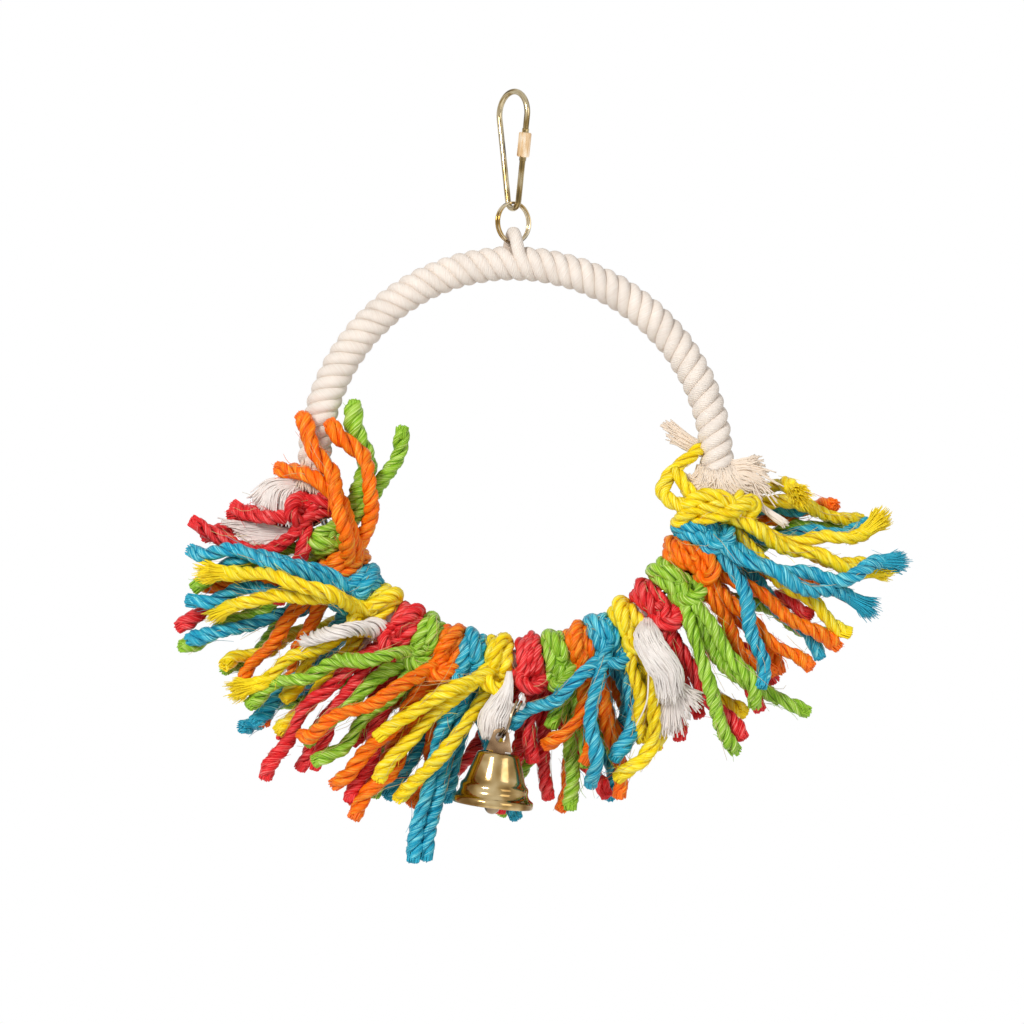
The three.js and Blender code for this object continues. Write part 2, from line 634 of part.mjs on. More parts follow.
// Bell shell: spun sheet with a shoulder, a bead and a rolled lip, and a slot for the hanger's shank.
// The bell is made about its own axis, with the top of its crown at the height 0.
function bellShell() {
  const crownR = BELL_CROWN_D / 2;
  const spread = BELL_MOUTH_D / 2 - crownR;
  const wall = [[0.05, 0.12], [0.21, 0.29], [0.43, 0.54], [0.53, 0.59], [0.64, 0.65], [0.66, 0.74],
    [0.78, 0.82], [0.93, 0.86], [1, 0.91], [1, 1]];
  const outside = wall.map(([out, down]) => [crownR + out * spread, -down * BELL_HEIGHT]);
  const top = [[crownR - BELL_WALL, -BELL_WALL / 2], [crownR - 2 * BELL_WALL, 0], [0, 0]];
  const inside = outside.filter((_, i) => i % 2 === 1).map(([r, z]) => [r - BELL_WALL, z]);
  const under = [[0, -BELL_WALL], [crownR - 2 * BELL_WALL, -BELL_WALL], [crownR - BELL_WALL, -3 * BELL_WALL]];
  const profile = [...under, ...inside, ...outside.reverse(), ...top];
  const shell = new THREE.LatheGeometry(profile.map(([r, z]) => new THREE.Vector2(r, z)), 24);
  shell.rotateX(Math.PI / 2);
  const slot = new THREE.BoxGeometry(SHANK + 2 * CLEARANCE, TAB_THICK + 2 * CLEARANCE, 4 * BELL_WALL);
  return cut(shell, [slot]);
}

// Bell hanger: a flat tab with a hole, its shank through the crown's slot and its foot below the crown
const footHoleZ = -BELL_WALL - FOOT_DROP;
function bellHanger() {
  const cap = TAB_TOP / 3;
  const footTop = -BELL_WALL - CLEARANCE;
  const footEnd = footHoleZ - FOOT_HOLE / 2 - FOOT_RIM;
  const plate = new THREE.Shape();
  plate.moveTo(TAB_BASE / 2, CLEARANCE);
  plate.lineTo(TAB_TOP / 2, TAB_RISE - cap);
  plate.absellipse(0, TAB_RISE - cap, TAB_TOP / 2, cap, 0, Math.PI, false);
  plate.lineTo(-TAB_BASE / 2, CLEARANCE);
  plate.lineTo(-SHANK / 2, CLEARANCE);
  plate.lineTo(-SHANK / 2, footTop);
  plate.lineTo(-FOOT / 2, footTop);
  plate.lineTo(-SHANK / 2, footEnd);
  plate.lineTo(SHANK / 2, footEnd);
  plate.lineTo(FOOT / 2, footTop);
  plate.lineTo(SHANK / 2, footTop);
  plate.lineTo(SHANK / 2, CLEARANCE);
  plate.holes.push(new THREE.Path().absarc(0, TAB_HOLE_RISE, TAB_HOLE / 2, 0, 2 * Math.PI));
  plate.holes.push(new THREE.Path().absarc(0, footHoleZ, FOOT_HOLE / 2, 0, 2 * Math.PI));
  const tab = new THREE.ExtrudeGeometry(plate, { depth: TAB_THICK, curveSegments: 7, bevelEnabled: false });
  tab.translate(0, 0, -TAB_THICK / 2);
  tab.rotateX(Math.PI / 2);
  return tab;
}

// Clapper: a wire eye through the foot's hole, a stem and a ball that shows below the lip
function clapper() {
  const eyeR = CLAPPER_EYE / 2;
  const eye = new THREE.TorusGeometry(eyeR, CLAPPER_WIRE / 2, 6, 12);
  eye.rotateY(Math.PI / 2);
  eye.translate(0, 0, footHoleZ - eyeR);
  const ballZ = -BELL_HEIGHT - BALL_SHOW + BALL_D / 2;
  const ball = new THREE.SphereGeometry(BALL_D / 2, 10, 7);
  ball.translate(0, 0, ballZ);
  const stemTop = new THREE.Vector3(0, 0, footHoleZ - CLAPPER_EYE);
  const stem = rod(stemTop, new THREE.Vector3(0, 0, ballZ), CLAPPER_WIRE, 6);
  return join([eye, stem, ball]);
}

add('link_body', 'link', linkBody());
add('sleeve_nut', 'nut', sleeveNut());
add('hanger_ring', 'ring', splitRing(new THREE.Vector3(0, 0, ringZ), linkAlong, ringAlong));
add('hoop_wire', 'steel', hoopWire());
add('cotton_rope', 'cotton', cottonRope());
for (const [index, tie] of TIES.entries()) {
  const number = String(index + 1).padStart(2, '0');
  add(`tie_${number}_${tie.yarn}`, tie.yarn, tieSolid(tie));
}
add('bell_ring', 'darkSteel', splitRing(bellRingAt, ringAcross, front));

const bell = new THREE.Group();
const holeSlack = TAB_HOLE / 2 - Math.hypot(coilOffset + RING_WIRE / 2, RING_WIRE / 2) - CLEARANCE;
bell.position.copy(onBellAxis(TAB_HOLE_RISE + holeSlack));
bell.rotation.y = rad(BELL_LEAN);
swing.add(bell);
add('bell_shell', 'brass', bellShell(), bell);
add('bell_hanger', 'brass', bellHanger(), bell);
add('clapper', 'darkSteel', clapper(), bell);

export default swing;
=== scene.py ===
import math
import bpy
import numpy as np
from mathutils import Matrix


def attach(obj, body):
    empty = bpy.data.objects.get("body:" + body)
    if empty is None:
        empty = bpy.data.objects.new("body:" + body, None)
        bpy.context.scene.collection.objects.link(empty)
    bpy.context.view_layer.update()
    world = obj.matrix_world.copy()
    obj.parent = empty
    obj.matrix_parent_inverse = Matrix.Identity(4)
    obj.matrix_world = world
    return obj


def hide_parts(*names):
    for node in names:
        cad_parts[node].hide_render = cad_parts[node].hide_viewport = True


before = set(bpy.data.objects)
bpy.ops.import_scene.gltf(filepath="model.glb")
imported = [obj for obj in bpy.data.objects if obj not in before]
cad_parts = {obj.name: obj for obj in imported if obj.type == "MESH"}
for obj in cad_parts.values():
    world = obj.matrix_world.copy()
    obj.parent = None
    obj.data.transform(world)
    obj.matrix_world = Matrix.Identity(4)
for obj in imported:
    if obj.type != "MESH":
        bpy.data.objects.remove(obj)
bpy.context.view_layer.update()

# Quick link body: 2.45 mm steel wire bent into a pear, wide at the top and narrow at the foot, open in the
# leg that the sleeve nut closes. It is yellow zinc plated, so dark, gold and pale tints drift along it.
MM = 0.001
LINK_WIRE, LINK_LENGTH = 2.45, 50.3
LINK_CROWN_R, LINK_FOOT_R = 9.05, 3.4
LINK_TURN = math.radians(51)
GATE_GAP, NUT_LENGTH, NUT_DROP = 6.0, 10.0, 21.1
STUB_D, STUB_SHOW = 2.9, 1.7
STUB_SHAPE = [(0, 0.9), (0.08, 1), (0.9, 1), (0.97, 0.96), (1, 0.86)]
TINT_SCALE, SCUFF_SCALE, STREAK_STRETCH = 90, 900, (1, 0.012, 1)
STREAK_SPAN, RAMP_SPAN, METAL_RELIEF = (0.3, 0.7), (0.35, 0.65), 0.0002

def distance_run(line):
    """How far along the line each of its points lies."""
    return np.concatenate([[0], np.cumsum(np.linalg.norm(np.diff(line, axis=0), axis=1))])

def places_at(at, run, line):
    """Places on a line whose points lie at the distances run."""
    return np.column_stack([np.interp(at, run, line[:, k]) for k in range(3)])

def smooth_line(points, step):
    """A smooth line through the points, cut into even steps, with the distance run at each of them."""
    p = np.asarray(points, float)
    p = np.vstack([2 * p[0] - p[1], p, 2 * p[-1] - p[-2]])
    t = np.linspace(0, 1, 20, endpoint=False)[:, None]
    runs = []
    for a, b, c, d in zip(p[:-3], p[1:-2], p[2:-1], p[3:]):
        square, cube = 2 * a - 5 * b + 4 * c - d, 3 * b - a - 3 * c + d
        runs.append(0.5 * (2 * b + (c - a) * t + square * t**2 + cube * t**3))
    line = np.vstack(runs + [p[-2][None]])
    run = distance_run(line)
    at = np.linspace(0, run[-1], max(3, int(round(run[-1] / step)) + 1))
    return places_at(at, run, line), at

def unit(v):
    return v / np.maximum(np.linalg.norm(v, axis=-1, keepdims=True), 1e-12)

def carried_frames(line, first=(0.31, 0.87, 0.39)):
    """Tangents along a line and two directions square to them that turn no more than the line does."""
    tangent = unit(np.gradient(line, axis=0))
    side = np.asarray(first, float)
    sides = []
    for t in tangent:
        side = unit(side - t * np.dot(side, t))
        sides.append(side)
    sides = np.array(sides)
    return tangent, sides, np.cross(tangent, sides)

def new_object(name, data):
    made = bpy.data.objects.new(name, data)
    bpy.context.scene.collection.objects.link(made)
    return made

class TubeBatch:
    """Many tubes in one mesh. The UV map yarn holds the way round a tube, with 0.5 facing out, and the
    distance along it in millimetres."""

    def __init__(self):
        self.verts, self.polys, self.uvs, self.mats, self.count = [], [], [], [], 0

    def skin(self, rings, along, material=0, closed=False, way=1):
        """Faces from each ring of points to the next, with both ends capped unless they are joined."""
        n, sides = rings.shape[:2]
        i, j = np.meshgrid(np.arange(n if closed else n - 1), np.arange(sides), indexing="ij")
        i, j = i.ravel(), j.ravel()
        i2, j2 = (i + 1) % n, (j + 1) % sides
        u, u2, v = j / sides, (j + 1) / sides, along[i]
        v2 = v + (along[1] - along[0]) if closed else along[i + 1]
        corners = [(i, j, u, v), (i, j2, u2, v), (i2, j2, u2, v2), (i2, j, u, v2)]
        if way < 0:
            corners = corners[:1] + corners[:0:-1]
        self.verts.append(rings.reshape(-1, 3))
        self.polys.append(self.count + np.stack([row * sides + place for row, place, _, _ in corners], 1))
        self.uvs.append(np.stack([np.column_stack(uv) for _, _, *uv in corners], 1))
        self.mats.append(np.full(len(i), material))
        for end, order in () if closed else ((0, -way), (n - 1, way)):
            self.polys.append((self.count + end * sides + np.arange(sides)[::order])[None])
            self.uvs.append(np.tile([0.5, along[end]], (1, sides, 1)))
            self.mats.append(np.full(1, material))
        self.count += n * sides

    def tube(self, line, radius, sides, out=None, along=None, material=0, closed=False):
        """A round tube along the line, where out is the way that its outer side faces."""
        tangent = unit(np.gradient(line, axis=0))
        if closed:
            tangent = unit(np.roll(line, -1, axis=0) - np.roll(line, 1, axis=0))
        if out is None:
            out = carried_frames(line)[1]
        out = unit(out - tangent * np.sum(out * tangent, axis=1, keepdims=True))
        across = np.cross(tangent, out)
        radius = np.broadcast_to(np.asarray(radius, float), (len(line),))
        turn = 2 * np.pi * np.arange(sides) / sides + np.pi
        ring = out[:, None] * np.cos(turn)[None, :, None] + across[:, None] * np.sin(turn)[None, :, None]
        rings = line[:, None] + ring * radius[:, None, None]
        self.skin(rings, distance_run(line) if along is None else along, material, closed)

    def piece(self, name, materials):
        mesh = bpy.data.meshes.new(name)
        verts = np.concatenate(self.verts) * MM
        mesh.vertices.add(len(verts))
        mesh.vertices.foreach_set("co", verts.ravel())
        loops = np.concatenate([p.ravel() for p in self.polys])
        sizes = np.concatenate([np.full(len(p), p.shape[1]) for p in self.polys])
        mesh.loops.add(len(loops))
        mesh.loops.foreach_set("vertex_index", loops.astype(np.int32))
        mesh.polygons.add(len(sizes))
        mesh.polygons.foreach_set("loop_start", np.concatenate([[0], np.cumsum(sizes)[:-1]]).astype(np.int32))
        mesh.polygons.foreach_set("material_index", np.concatenate(self.mats).astype(np.int32))
        mesh.polygons.foreach_set("use_smooth", np.ones(len(sizes), bool))
        mesh.update(calc_edges=True)
        layer = mesh.uv_layers.new(name="yarn")
        layer.data.foreach_set("uv", np.concatenate([u.reshape(-1, 2) for u in self.uvs]).ravel())
        for material in materials:
            mesh.materials.append(material)
        return new_object(name, mesh)

def srgb(r, g, b):
    """A colour given as it shows on a screen, from 0 to 255, as the shader wants it."""
    return tuple(c / 3294.6 if c <= 10 else ((c / 255 + 0.055) / 1.055) ** 2.4 for c in (r, g, b)) + (1,)

def new_material(name):
    material = bpy.data.materials.new(name)
    material.use_nodes = True
    return material, material.node_tree, material.node_tree.nodes["Principled BSDF"]

def fill_in(tree, node, inputs):
    """Sets each input of a node to a value, or joins it to another node's output."""
    for name, value in inputs.items():
        if isinstance(value, bpy.types.NodeSocket):
            tree.links.new(value, node.inputs[name])
        else:
            node.inputs[name].default_value = value

def add_node(tree, kind, inputs=None, **settings):
    """A shader node with its settings and inputs."""
    node = tree.nodes.new("ShaderNode" + kind)
    for name, value in settings.items():
        setattr(node, name, value)
    fill_in(tree, node, inputs or {})
    return node

def new_group(name, inputs, outputs):
    """A node group with number sockets, the values that come into it, and its output node."""
    group = bpy.data.node_groups.new(name, "ShaderNodeTree")
    for socket, value in inputs.items():
        made = group.interface.new_socket(socket, in_out="INPUT", socket_type="NodeSocketFloat")
        made.default_value = value
    for socket in outputs:
        group.interface.new_socket(socket, in_out="OUTPUT", socket_type="NodeSocketFloat")
    return group, group.nodes.new("NodeGroupInput").outputs, group.nodes.new("NodeGroupOutput")

def brought_to(tree, value, old, new, curve="LINEAR"):
    """A value that runs over the old range, brought to the new one."""
    ranges = {"From Min": old[0], "From Max": old[1], "To Min": new[0], "To Max": new[1]}
    return add_node(tree, "MapRange", {"Value": value, **ranges}, interpolation_type=curve).outputs["Result"]

def colour_ramp(tree, value, stops):
    """The colour that a value picks from those that stand at the given places."""
    ramp = add_node(tree, "ValToRGB", {"Fac": value})
    marks = ramp.color_ramp.elements
    for index, (place, colour) in enumerate(stops):
        mark = marks[index] if index < 2 else marks.new(place)
        mark.position = place
        mark.color = srgb(*colour)
    return ramp.outputs["Color"]

def relief(tree, height, strength, depth):
    """The normal of a surface with fine relief."""
    bump = {"Height": height, "Strength": strength, "Distance": depth}
    return add_node(tree, "Bump", bump).outputs["Normal"]

def noise(tree, vector, scale, detail, roughness=0.5):
    """A value that wavers from place to place."""
    inputs = {"Vector": vector, "Scale": scale, "Detail": detail, "Roughness": roughness}
    return add_node(tree, "TexNoise", inputs).outputs["Fac"]

def drawn_wire_group():
    """Drawn and plated wire: streaks along the piece, a slow drift of tint, and small scuffs."""
    group, given, result = new_group("drawn_wire", {"Streaks": 400}, ("Streak", "Tint", "Scuff"))
    uv = add_node(group, "UVMap", uv_map="yarn").outputs["UV"]
    place = add_node(group, "TexCoord").outputs["Object"]
    drawn = add_node(group, "VectorMath", {0: uv, 1: STREAK_STRETCH}, operation="MULTIPLY").outputs[0]
    size = add_node(group, "Math", {0: given["Streaks"], 1: 0.1}, operation="MULTIPLY").outputs[0]
    fill_in(group, result, {
        "Streak": noise(group, drawn, size, 3),
        "Tint": noise(group, place, TINT_SCALE, 2),
        "Scuff": noise(group, place, SCUFF_SCALE, 4),
    })
    return group

drawn_wire = drawn_wire_group()

def plated_wire(name, colours, rough, bump, streaks=400, lines=0.0):
    """A plated metal: its colour drifts through the given ones and its gloss follows the drawing streaks."""
    material, tree, shader = new_material(name)
    wire = add_node(tree, "Group", {"Streaks": streaks}, node_tree=drawn_wire).outputs
    drift = add_node(tree, "Mix", {"Factor": lines, "A": wire["Tint"], "B": wire["Streak"]}).outputs["Result"]
    stops = zip(np.linspace(*RAMP_SPAN, len(colours)), colours)
    fill_in(tree, shader, {
        "Base Color": colour_ramp(tree, drift, stops),
        "Roughness": brought_to(tree, wire["Streak"], STREAK_SPAN, rough),
        "Normal": relief(tree, wire["Scuff"], bump, METAL_RELIEF),
        "Metallic": 1,
    })
    return material

link_along = np.array([math.cos(LINK_TURN), -math.sin(LINK_TURN), 0])
ring_along = np.array([math.sin(LINK_TURN), math.cos(LINK_TURN), 0])
up = np.array([0.0, 0.0, 1.0])
crown_z = LINK_WIRE / 2 - LINK_CROWN_R
foot_wire_z = LINK_WIRE * 1.5 - LINK_LENGTH
foot_z = foot_wire_z + LINK_FOOT_R
leg_tilt = math.asin((LINK_CROWN_R - LINK_FOOT_R) / (crown_z - foot_z))
leg_down = -math.sin(leg_tilt) * link_along - math.cos(leg_tilt) * up

def on_gate_leg(z):
    """The middle of the open leg's wire at a height."""
    top = crown_z - LINK_CROWN_R * math.sin(leg_tilt)
    return link_along * (LINK_CROWN_R * math.cos(leg_tilt) - (top - z) * math.tan(leg_tilt)) + up * z

nut_middle = on_gate_leg(-NUT_DROP)
bends = [nut_middle + leg_down * (GATE_GAP / 2)]
for r, z, first, last, steps in ((LINK_FOOT_R, foot_z, -leg_tilt, leg_tilt - math.pi, 26),
                                 (LINK_CROWN_R, crown_z, leg_tilt + math.pi, -leg_tilt, 48)):
    turns = np.linspace(first, last, steps)
    bends += [link_along * r * math.cos(a) + up * (z + r * math.sin(a)) for a in turns]
bends.append(nut_middle - leg_down * (GATE_GAP / 2))
corners = np.array(bends)
run = distance_run(corners)
wire_line = places_at(np.linspace(0, run[-1], 260), run, corners)
link = TubeBatch()
link.tube(wire_line, LINK_WIRE / 2, 20, np.tile(ring_along, (len(wire_line), 1)))
stub_length = (NUT_LENGTH - GATE_GAP) / 2 + STUB_SHOW
for side in (1, -1):
    start, end = (nut_middle + side * leg_down * (GATE_GAP / 2 + d) for d in (0, stub_length))
    line = np.array([start + (end - start) * share for share, _ in STUB_SHAPE])
    link.tube(line, [STUB_D / 2 * swell for _, swell in STUB_SHAPE], 20, np.tile(ring_along, (len(line), 1)))
link_plate = plated_wire("yellow_zinc_plate", [(58, 52, 40), (132, 110, 66), (192, 178, 146), (96, 90, 80)],
                         (0.1, 0.2), 0.0, 50, 0.6)
link_piece = link.piece("link_wire", [link_plate])
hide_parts("link_body")
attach(link_piece, "link")

# Sleeve nut: hexagonal brass-plated barrel that slides down the leg to open the link. Its bore is plain, its
# corners are a little rounded and both ends are chamfered.
NUT_FLATS, NUT_WALL_CLEAR, NUT_CHAMFER = 4.8, 0.3, 0.45
NUT_END_SHARE, NUT_CORNER_SHARE, NUT_POINTS = 0.86, 1.13, 24
bore_r = STUB_D / 2 + NUT_WALL_CLEAR
full_width = 0.5 - NUT_CHAMFER / NUT_LENGTH
outside = [(-0.5, NUT_END_SHARE), (-full_width, 1), (full_width, 1), (0.5, NUT_END_SHARE)]
nut_rows = outside + [(0.5, None), (-0.5, None)]
nut_across = np.cross(leg_down, ring_along)
nut_verts, nut_faces = [], []
for share, swell in nut_rows:
    for k in range(NUT_POINTS):
        a = 2 * math.pi * (k + 0.5) / NUT_POINTS
        wedge = (a + math.pi / 6) % (math.pi / 3) - math.pi / 6
        corner = min(1 / math.cos(wedge), NUT_CORNER_SHARE)
        r = bore_r if swell is None else NUT_FLATS / 2 * corner * swell
        way_out = ring_along * math.cos(a) + nut_across * math.sin(a)
        nut_verts.append(tuple((nut_middle + leg_down * share * NUT_LENGTH + way_out * r) * MM))
for row in range(len(nut_rows)):
    a, b = row * NUT_POINTS, (row + 1) % len(nut_rows) * NUT_POINTS
    for k in range(NUT_POINTS):
        k2 = (k + 1) % NUT_POINTS
        nut_faces.append((a + k, a + k2, b + k2, b + k))
nut_mesh = bpy.data.meshes.new("nut_barrel")
nut_mesh.from_pydata(nut_verts, [], nut_faces)
nut_uv = [(i % NUT_POINTS / NUT_POINTS, nut_verts[i][2] / MM) for face in nut_faces for i in face]
nut_mesh.uv_layers.new(name="yarn").data.foreach_set("uv", np.array(nut_uv).ravel())
nut_plate = plated_wire("pale_brass_plate", [(168, 124, 74), (228, 190, 142), (250, 234, 210)],
                        (0.16, 0.26), 0.02, 80, 0.75)
nut_mesh.materials.append(nut_plate)
nut_piece = new_object("nut_barrel", nut_mesh)
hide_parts("sleeve_nut")
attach(nut_piece, "nut")

# Hanger ring: a split ring of two coils of 1.1 mm wire, side by side, with a jog from one to the other.
# It hangs on the link's foot and is gold plated, worn to silver in places.
RING_OD, RING_WIRE, COIL_GAP, RING_JOG, CLEAR = 17.5, 1.1, 0.45, 60, 0.3
ring_mean_r = (RING_OD - RING_WIRE) / 2
coil_offset = (RING_WIRE + COIL_GAP) / 2
foot_room = LINK_FOOT_R - LINK_WIRE / 2 - CLEAR - RING_WIRE / 2
ring_top_z = foot_z - math.sqrt(foot_room**2 - coil_offset**2)
ring_z = ring_top_z - ring_mean_r
ring_foot_z = ring_z - ring_mean_r

def split_ring(name, middle, across, start, material):
    """Two coils of wire that begin and end half a jog from the start."""
    side = np.cross(across, start)
    degrees = np.linspace(RING_JOG / 2, 720 - RING_JOG / 2, 240)
    share = np.clip((degrees - 360 + RING_JOG / 2) / RING_JOG, 0, 1)
    jog = share * share * (3 - 2 * share)
    a = np.radians(degrees)[:, None]
    out = start * np.cos(a) + side * np.sin(a)
    line = middle + ring_mean_r * out + across * (coil_offset * (2 * jog - 1))[:, None]
    batch = TubeBatch()
    batch.tube(line, RING_WIRE / 2, 14, out)
    return batch.piece(name, [material])

ring_plate = plated_wire("worn_gold_plate", [(68, 56, 38), (150, 118, 58), (216, 202, 172), (118, 112, 102)],
                         (0.1, 0.2), 0.02, 50, 0.5)
ring_piece = split_ring("hanger_coils", up * ring_z, link_along, -up, ring_plate)
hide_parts("hanger_ring")
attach(ring_piece, "ring")

# Hoop wire: 3 mm plain steel wire closed into a ring. The rope is threaded over its upper half and the twine
# is knotted round its lower half, where it shows between the knots.
HOOP_R, HOOP_WIRE, HOOP_POINTS, ROPE_D, EYE_ROOM = 81.3, 3.0, 200, 14.0, 0.9
rope_top_z = ring_foot_z - RING_WIRE / 2 - EYE_ROOM
hoop_z = rope_top_z - ROPE_D / 2 - HOOP_R

def on_hoop(angle, out=0.0, depth=0.0):
    """A place on the hoop: the angle runs clockwise from +X as seen from the front."""
    a, reach = math.radians(angle), HOOP_R + out
    return np.array([reach * math.cos(a), depth, hoop_z - reach * math.sin(a)])

def outward(angle):
    a = math.radians(angle)
    return np.array([math.cos(a), 0.0, -math.sin(a)])

def along_hoop(angle):
    a = math.radians(angle)
    return np.array([-math.sin(a), 0.0, -math.cos(a)])

hoop = TubeBatch()
hoop_line = np.array([on_hoop(360 * i / HOOP_POINTS) for i in range(HOOP_POINTS)])
hoop.tube(hoop_line, HOOP_WIRE / 2, 14, np.tile((0.0, 1.0, 0.0), (HOOP_POINTS, 1)), closed=True)
steel = plated_wire("drawn_steel", [(120, 120, 122), (168, 169, 172), (196, 196, 198)], (0.2, 0.36), 0.03)
hoop_piece = hoop.piece("hoop_ring", [steel])
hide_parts("hoop_wire")
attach(hoop_piece, "hoop")

# Cotton rope: three soft strands laid right-handed over the hoop's upper half, with the wire in the middle.
# One strand is lifted over the hanger ring's foot, and both cut ends fray where the first and last ties hold
# them. Each tie has its spare room along the hoop, its front ends and its rear ends, as lean, bend and reach.
STRAND_D, STRAND_AT, ROPE_LAY = 5.2, 4.4, 16.4
TWINE_D, KNOT_LANE, KNOT_D, COTTON_LANE, COTTON_KNOT_D = 5.0, 4.1, 18.4, 5.0, 17.0
YELLOW_ROOM, COTTON_ROOM = KNOT_LANE + CLEAR, COTTON_LANE / 2 + CLEAR
FIRST_TIE = 12.0
PATCH_SCALE, TONE_SCALE, RIDGE_HEIGHT, FIBRE_RELIEF = 160, 0.035, 0.8, 0.0004
# The painted crease shade comes in over this span of a tube's facing, from its side to its inner side.
PAINTED_SHADE_SPAN, MOTTLE_SPAN, BRIGHTEST = (0.35, -0.45), (0.7, 1.3), 1.06
inner_r = HOOP_R - (KNOT_D - KNOT_LANE) / 2
TIE_ORDER = ("yellow", "blue", "orange", "green", "red", "cotton")
TIE_ENDS = [
    (2.8, [(37, -80, 66), (25, -28, 70), (43, -24, 73)], [(-62, 83, 34), (-20, 30, 62), (18, -16, 66)]),
    (2.2, [(24, -70, 77), (16, -26, 69), (32, 39, 63)], [(-48, 20, 40), (-14, -18, 68), (20, 12, 66)]),
    (2.2, [(2, 5, 66), (24, -19, 65), (44, -32, 54)], [(-66, 31, 61), (-24, 18, 66), (16, 14, 55)]),
    (1.5, [(44, -70, 75), (40, -8, 68), (12, 16, 58)], [(-71, 24, 72), (-26, 20, 66), (18, -10, 60)]),
    (0.7, [(28, -28, 64), (-4, 15, 56), (46, -12, 52)], [(-60, 35, 60), (-18, 12, 57), (24, 10, 45)]),
    (0.7, [(54, -83, 36)], [(34, -50, 44)]),
    (1.1, [(-7, 92, 64), (32, -11, 45), (14, 20, 47)], [(-28, 22, 55), (0, 14, 46), (26, -12, 46)]),
    (1.4, [(74, 13, 49), (48, -31, 58), (-8, 70, 47)], [(-20, 16, 44), (4, 20, 40), (30, -8, 60)]),
    (1.1, [(-3, 94, 40), (4, 31, 44), (-1, 16, 57)], [(-24, 14, 46), (2, -14, 41), (22, 12, 62)]),
    (0.9, [(-28, 90, 28), (-13, 27, 41)], [(-26, 18, 46), (0, 16, 61), (22, 24, 65)]),
    (0.7, [(20, -24, 36)], [(-16, -14, 58), (-2, 6, 55), (12, 16, 59), (34, 16, 62)]),
    (0.7, [(36, -20, 24)], []),
    (0.6, [(50, -19, 66), (23, 20, 65), (66, -22, 52)], [(-10, 14, 54), (20, 10, 64), (58, -34, 76)]),
    (0.6, [(8, -10, 84), (5, -6, 79)], [(-20, -16, 64), (-8, 13, 58), (16, 8, 62), (36, -12, 66)]),
    (0.6, [(38, 11, 64), (14, 16, 70), (3, 20, 73)], [(-14, 16, 60), (8, 10, 72), (32, -14, 42)]),
    (0.6, [(62, -29, 73), (12, 13, 62), (31, -14, 62)], [(-10, 10, 62), (14, -12, 40), (38, 8, 66)]),
    (0.6, [(31, -42, 79), (22, -43, 66), (-20, 9, 68)], [(-12, 14, 46), (14, -16, 70), (36, -40, 64)]),
    (0.6, [(56, -27, 32)], [(20, -10, 30)]),
    (0.9, [(83, -42, 61), (70, -48, 62), (17, 0, 56)], [(-12, 12, 60), (13, -23, 52), (28, -6, 62)]),
    (2.2, [(71, -33, 67), (78, -63, 66), (53, -30, 67)], [(-37, 51, 75), (-22, 20, 64), (18, 10, 68)]),
    (3.1, [(122, -40, 63), (161, -99, 61), (126, -90, 56)], [(-11, -18, 66), (-33, 1, 68), (18, 12, 56)]),
    (2.8, [(143, -54, 56), (172, -50, 52)], [(-51, 39, 66), (-34, 42, 75), (10, -16, 54), (30, 10, 39)]),
    (1.2, [(-36, 110, 33), (-50, 120, 58), (-70, 27, 37)], [(-27, 0, 70), (-6, 16, 47), (16, -14, 32)]),
    (0.0, [(20, -100, 20)], [(-90, 151, 45)]),
]
TIES = [(TIE_ORDER[index % len(TIE_ORDER)], *tie) for index, tie in enumerate(TIE_ENDS)]

def lane_of(yarn):
    return COTTON_LANE if yarn == "cotton" else 2 * KNOT_LANE

def knot_d_of(yarn):
    return COTTON_KNOT_D if yarn == "cotton" else KNOT_D

tie_angles, reached = [], FIRST_TIE
for index, (yarn, spare, _, _) in enumerate(TIES):
    tie_angles.append(reached)
    following = TIES[min(index + 1, len(TIES) - 1)][0]
    reached += math.degrees(((lane_of(yarn) + lane_of(following)) / 2 + spare) / inner_r)
rope_right = FIRST_TIE - math.degrees(YELLOW_ROOM / inner_r)
rope_left = tie_angles[-1] + math.degrees(COTTON_ROOM / inner_r)

def spun_yarn_group():
    """Spun fibre on a tube: streaks along it, a mask of painted shade on the tube's inner side, and relief.
    """
    settings = {"Fibres": 5.0, "Length": 0.25, "Slant": 0.05, "Yarns": 0.0, "Yarn Slant": 0.0}
    group, given, result = new_group("spun_yarn", settings, ("Streak", "Painted Shade", "Height", "Patch", "Tone"))

    def work(operation, *values):
        return add_node(group, "Math", dict(enumerate(values)), operation=operation).outputs[0]

    def times(a, b):
        return work("MULTIPLY", a, b)

    uv = add_node(group, "UVMap", uv_map="yarn").outputs["UV"]
    around, along, _ = add_node(group, "SeparateXYZ", {0: uv}).outputs
    turn = times(work("ADD", around, times(along, given["Slant"])), 2 * math.pi)
    fibres = [times(work(wave, turn), given["Fibres"]) for wave in ("COSINE", "SINE")]
    fibres.append(times(along, given["Length"]))
    lie = add_node(group, "CombineXYZ", dict(enumerate(fibres))).outputs[0]
    streak = noise(group, lie, 1, 2.5, 0.6)
    patch = noise(group, add_node(group, "TexCoord").outputs["Object"], PATCH_SCALE, 2)
    along_only = {"W": along, "Scale": TONE_SCALE, "Detail": 1}
    tone = add_node(group, "TexNoise", along_only, noise_dimensions="1D")
    facing = work("COSINE", times(work("SUBTRACT", around, 0.5), 2 * math.pi))
    ridge_turn = work("ADD", times(around, given["Yarns"]), times(along, given["Yarn Slant"]))
    ridge = times(work("ABSOLUTE", work("SINE", times(ridge_turn, math.pi))), RIDGE_HEIGHT)
    fill_in(group, result, {
        "Streak": streak,
        # Painted shade: full on the inner side of each ply or strand, where its neighbours would shade it.
        "Painted Shade": brought_to(group, facing, PAINTED_SHADE_SPAN, (0, 1), "SMOOTHSTEP"),
        "Height": work("ADD", streak, ridge),
        "Patch": patch,
        "Tone": tone.outputs["Fac"],
    })
    return group

spun_yarn = spun_yarn_group()

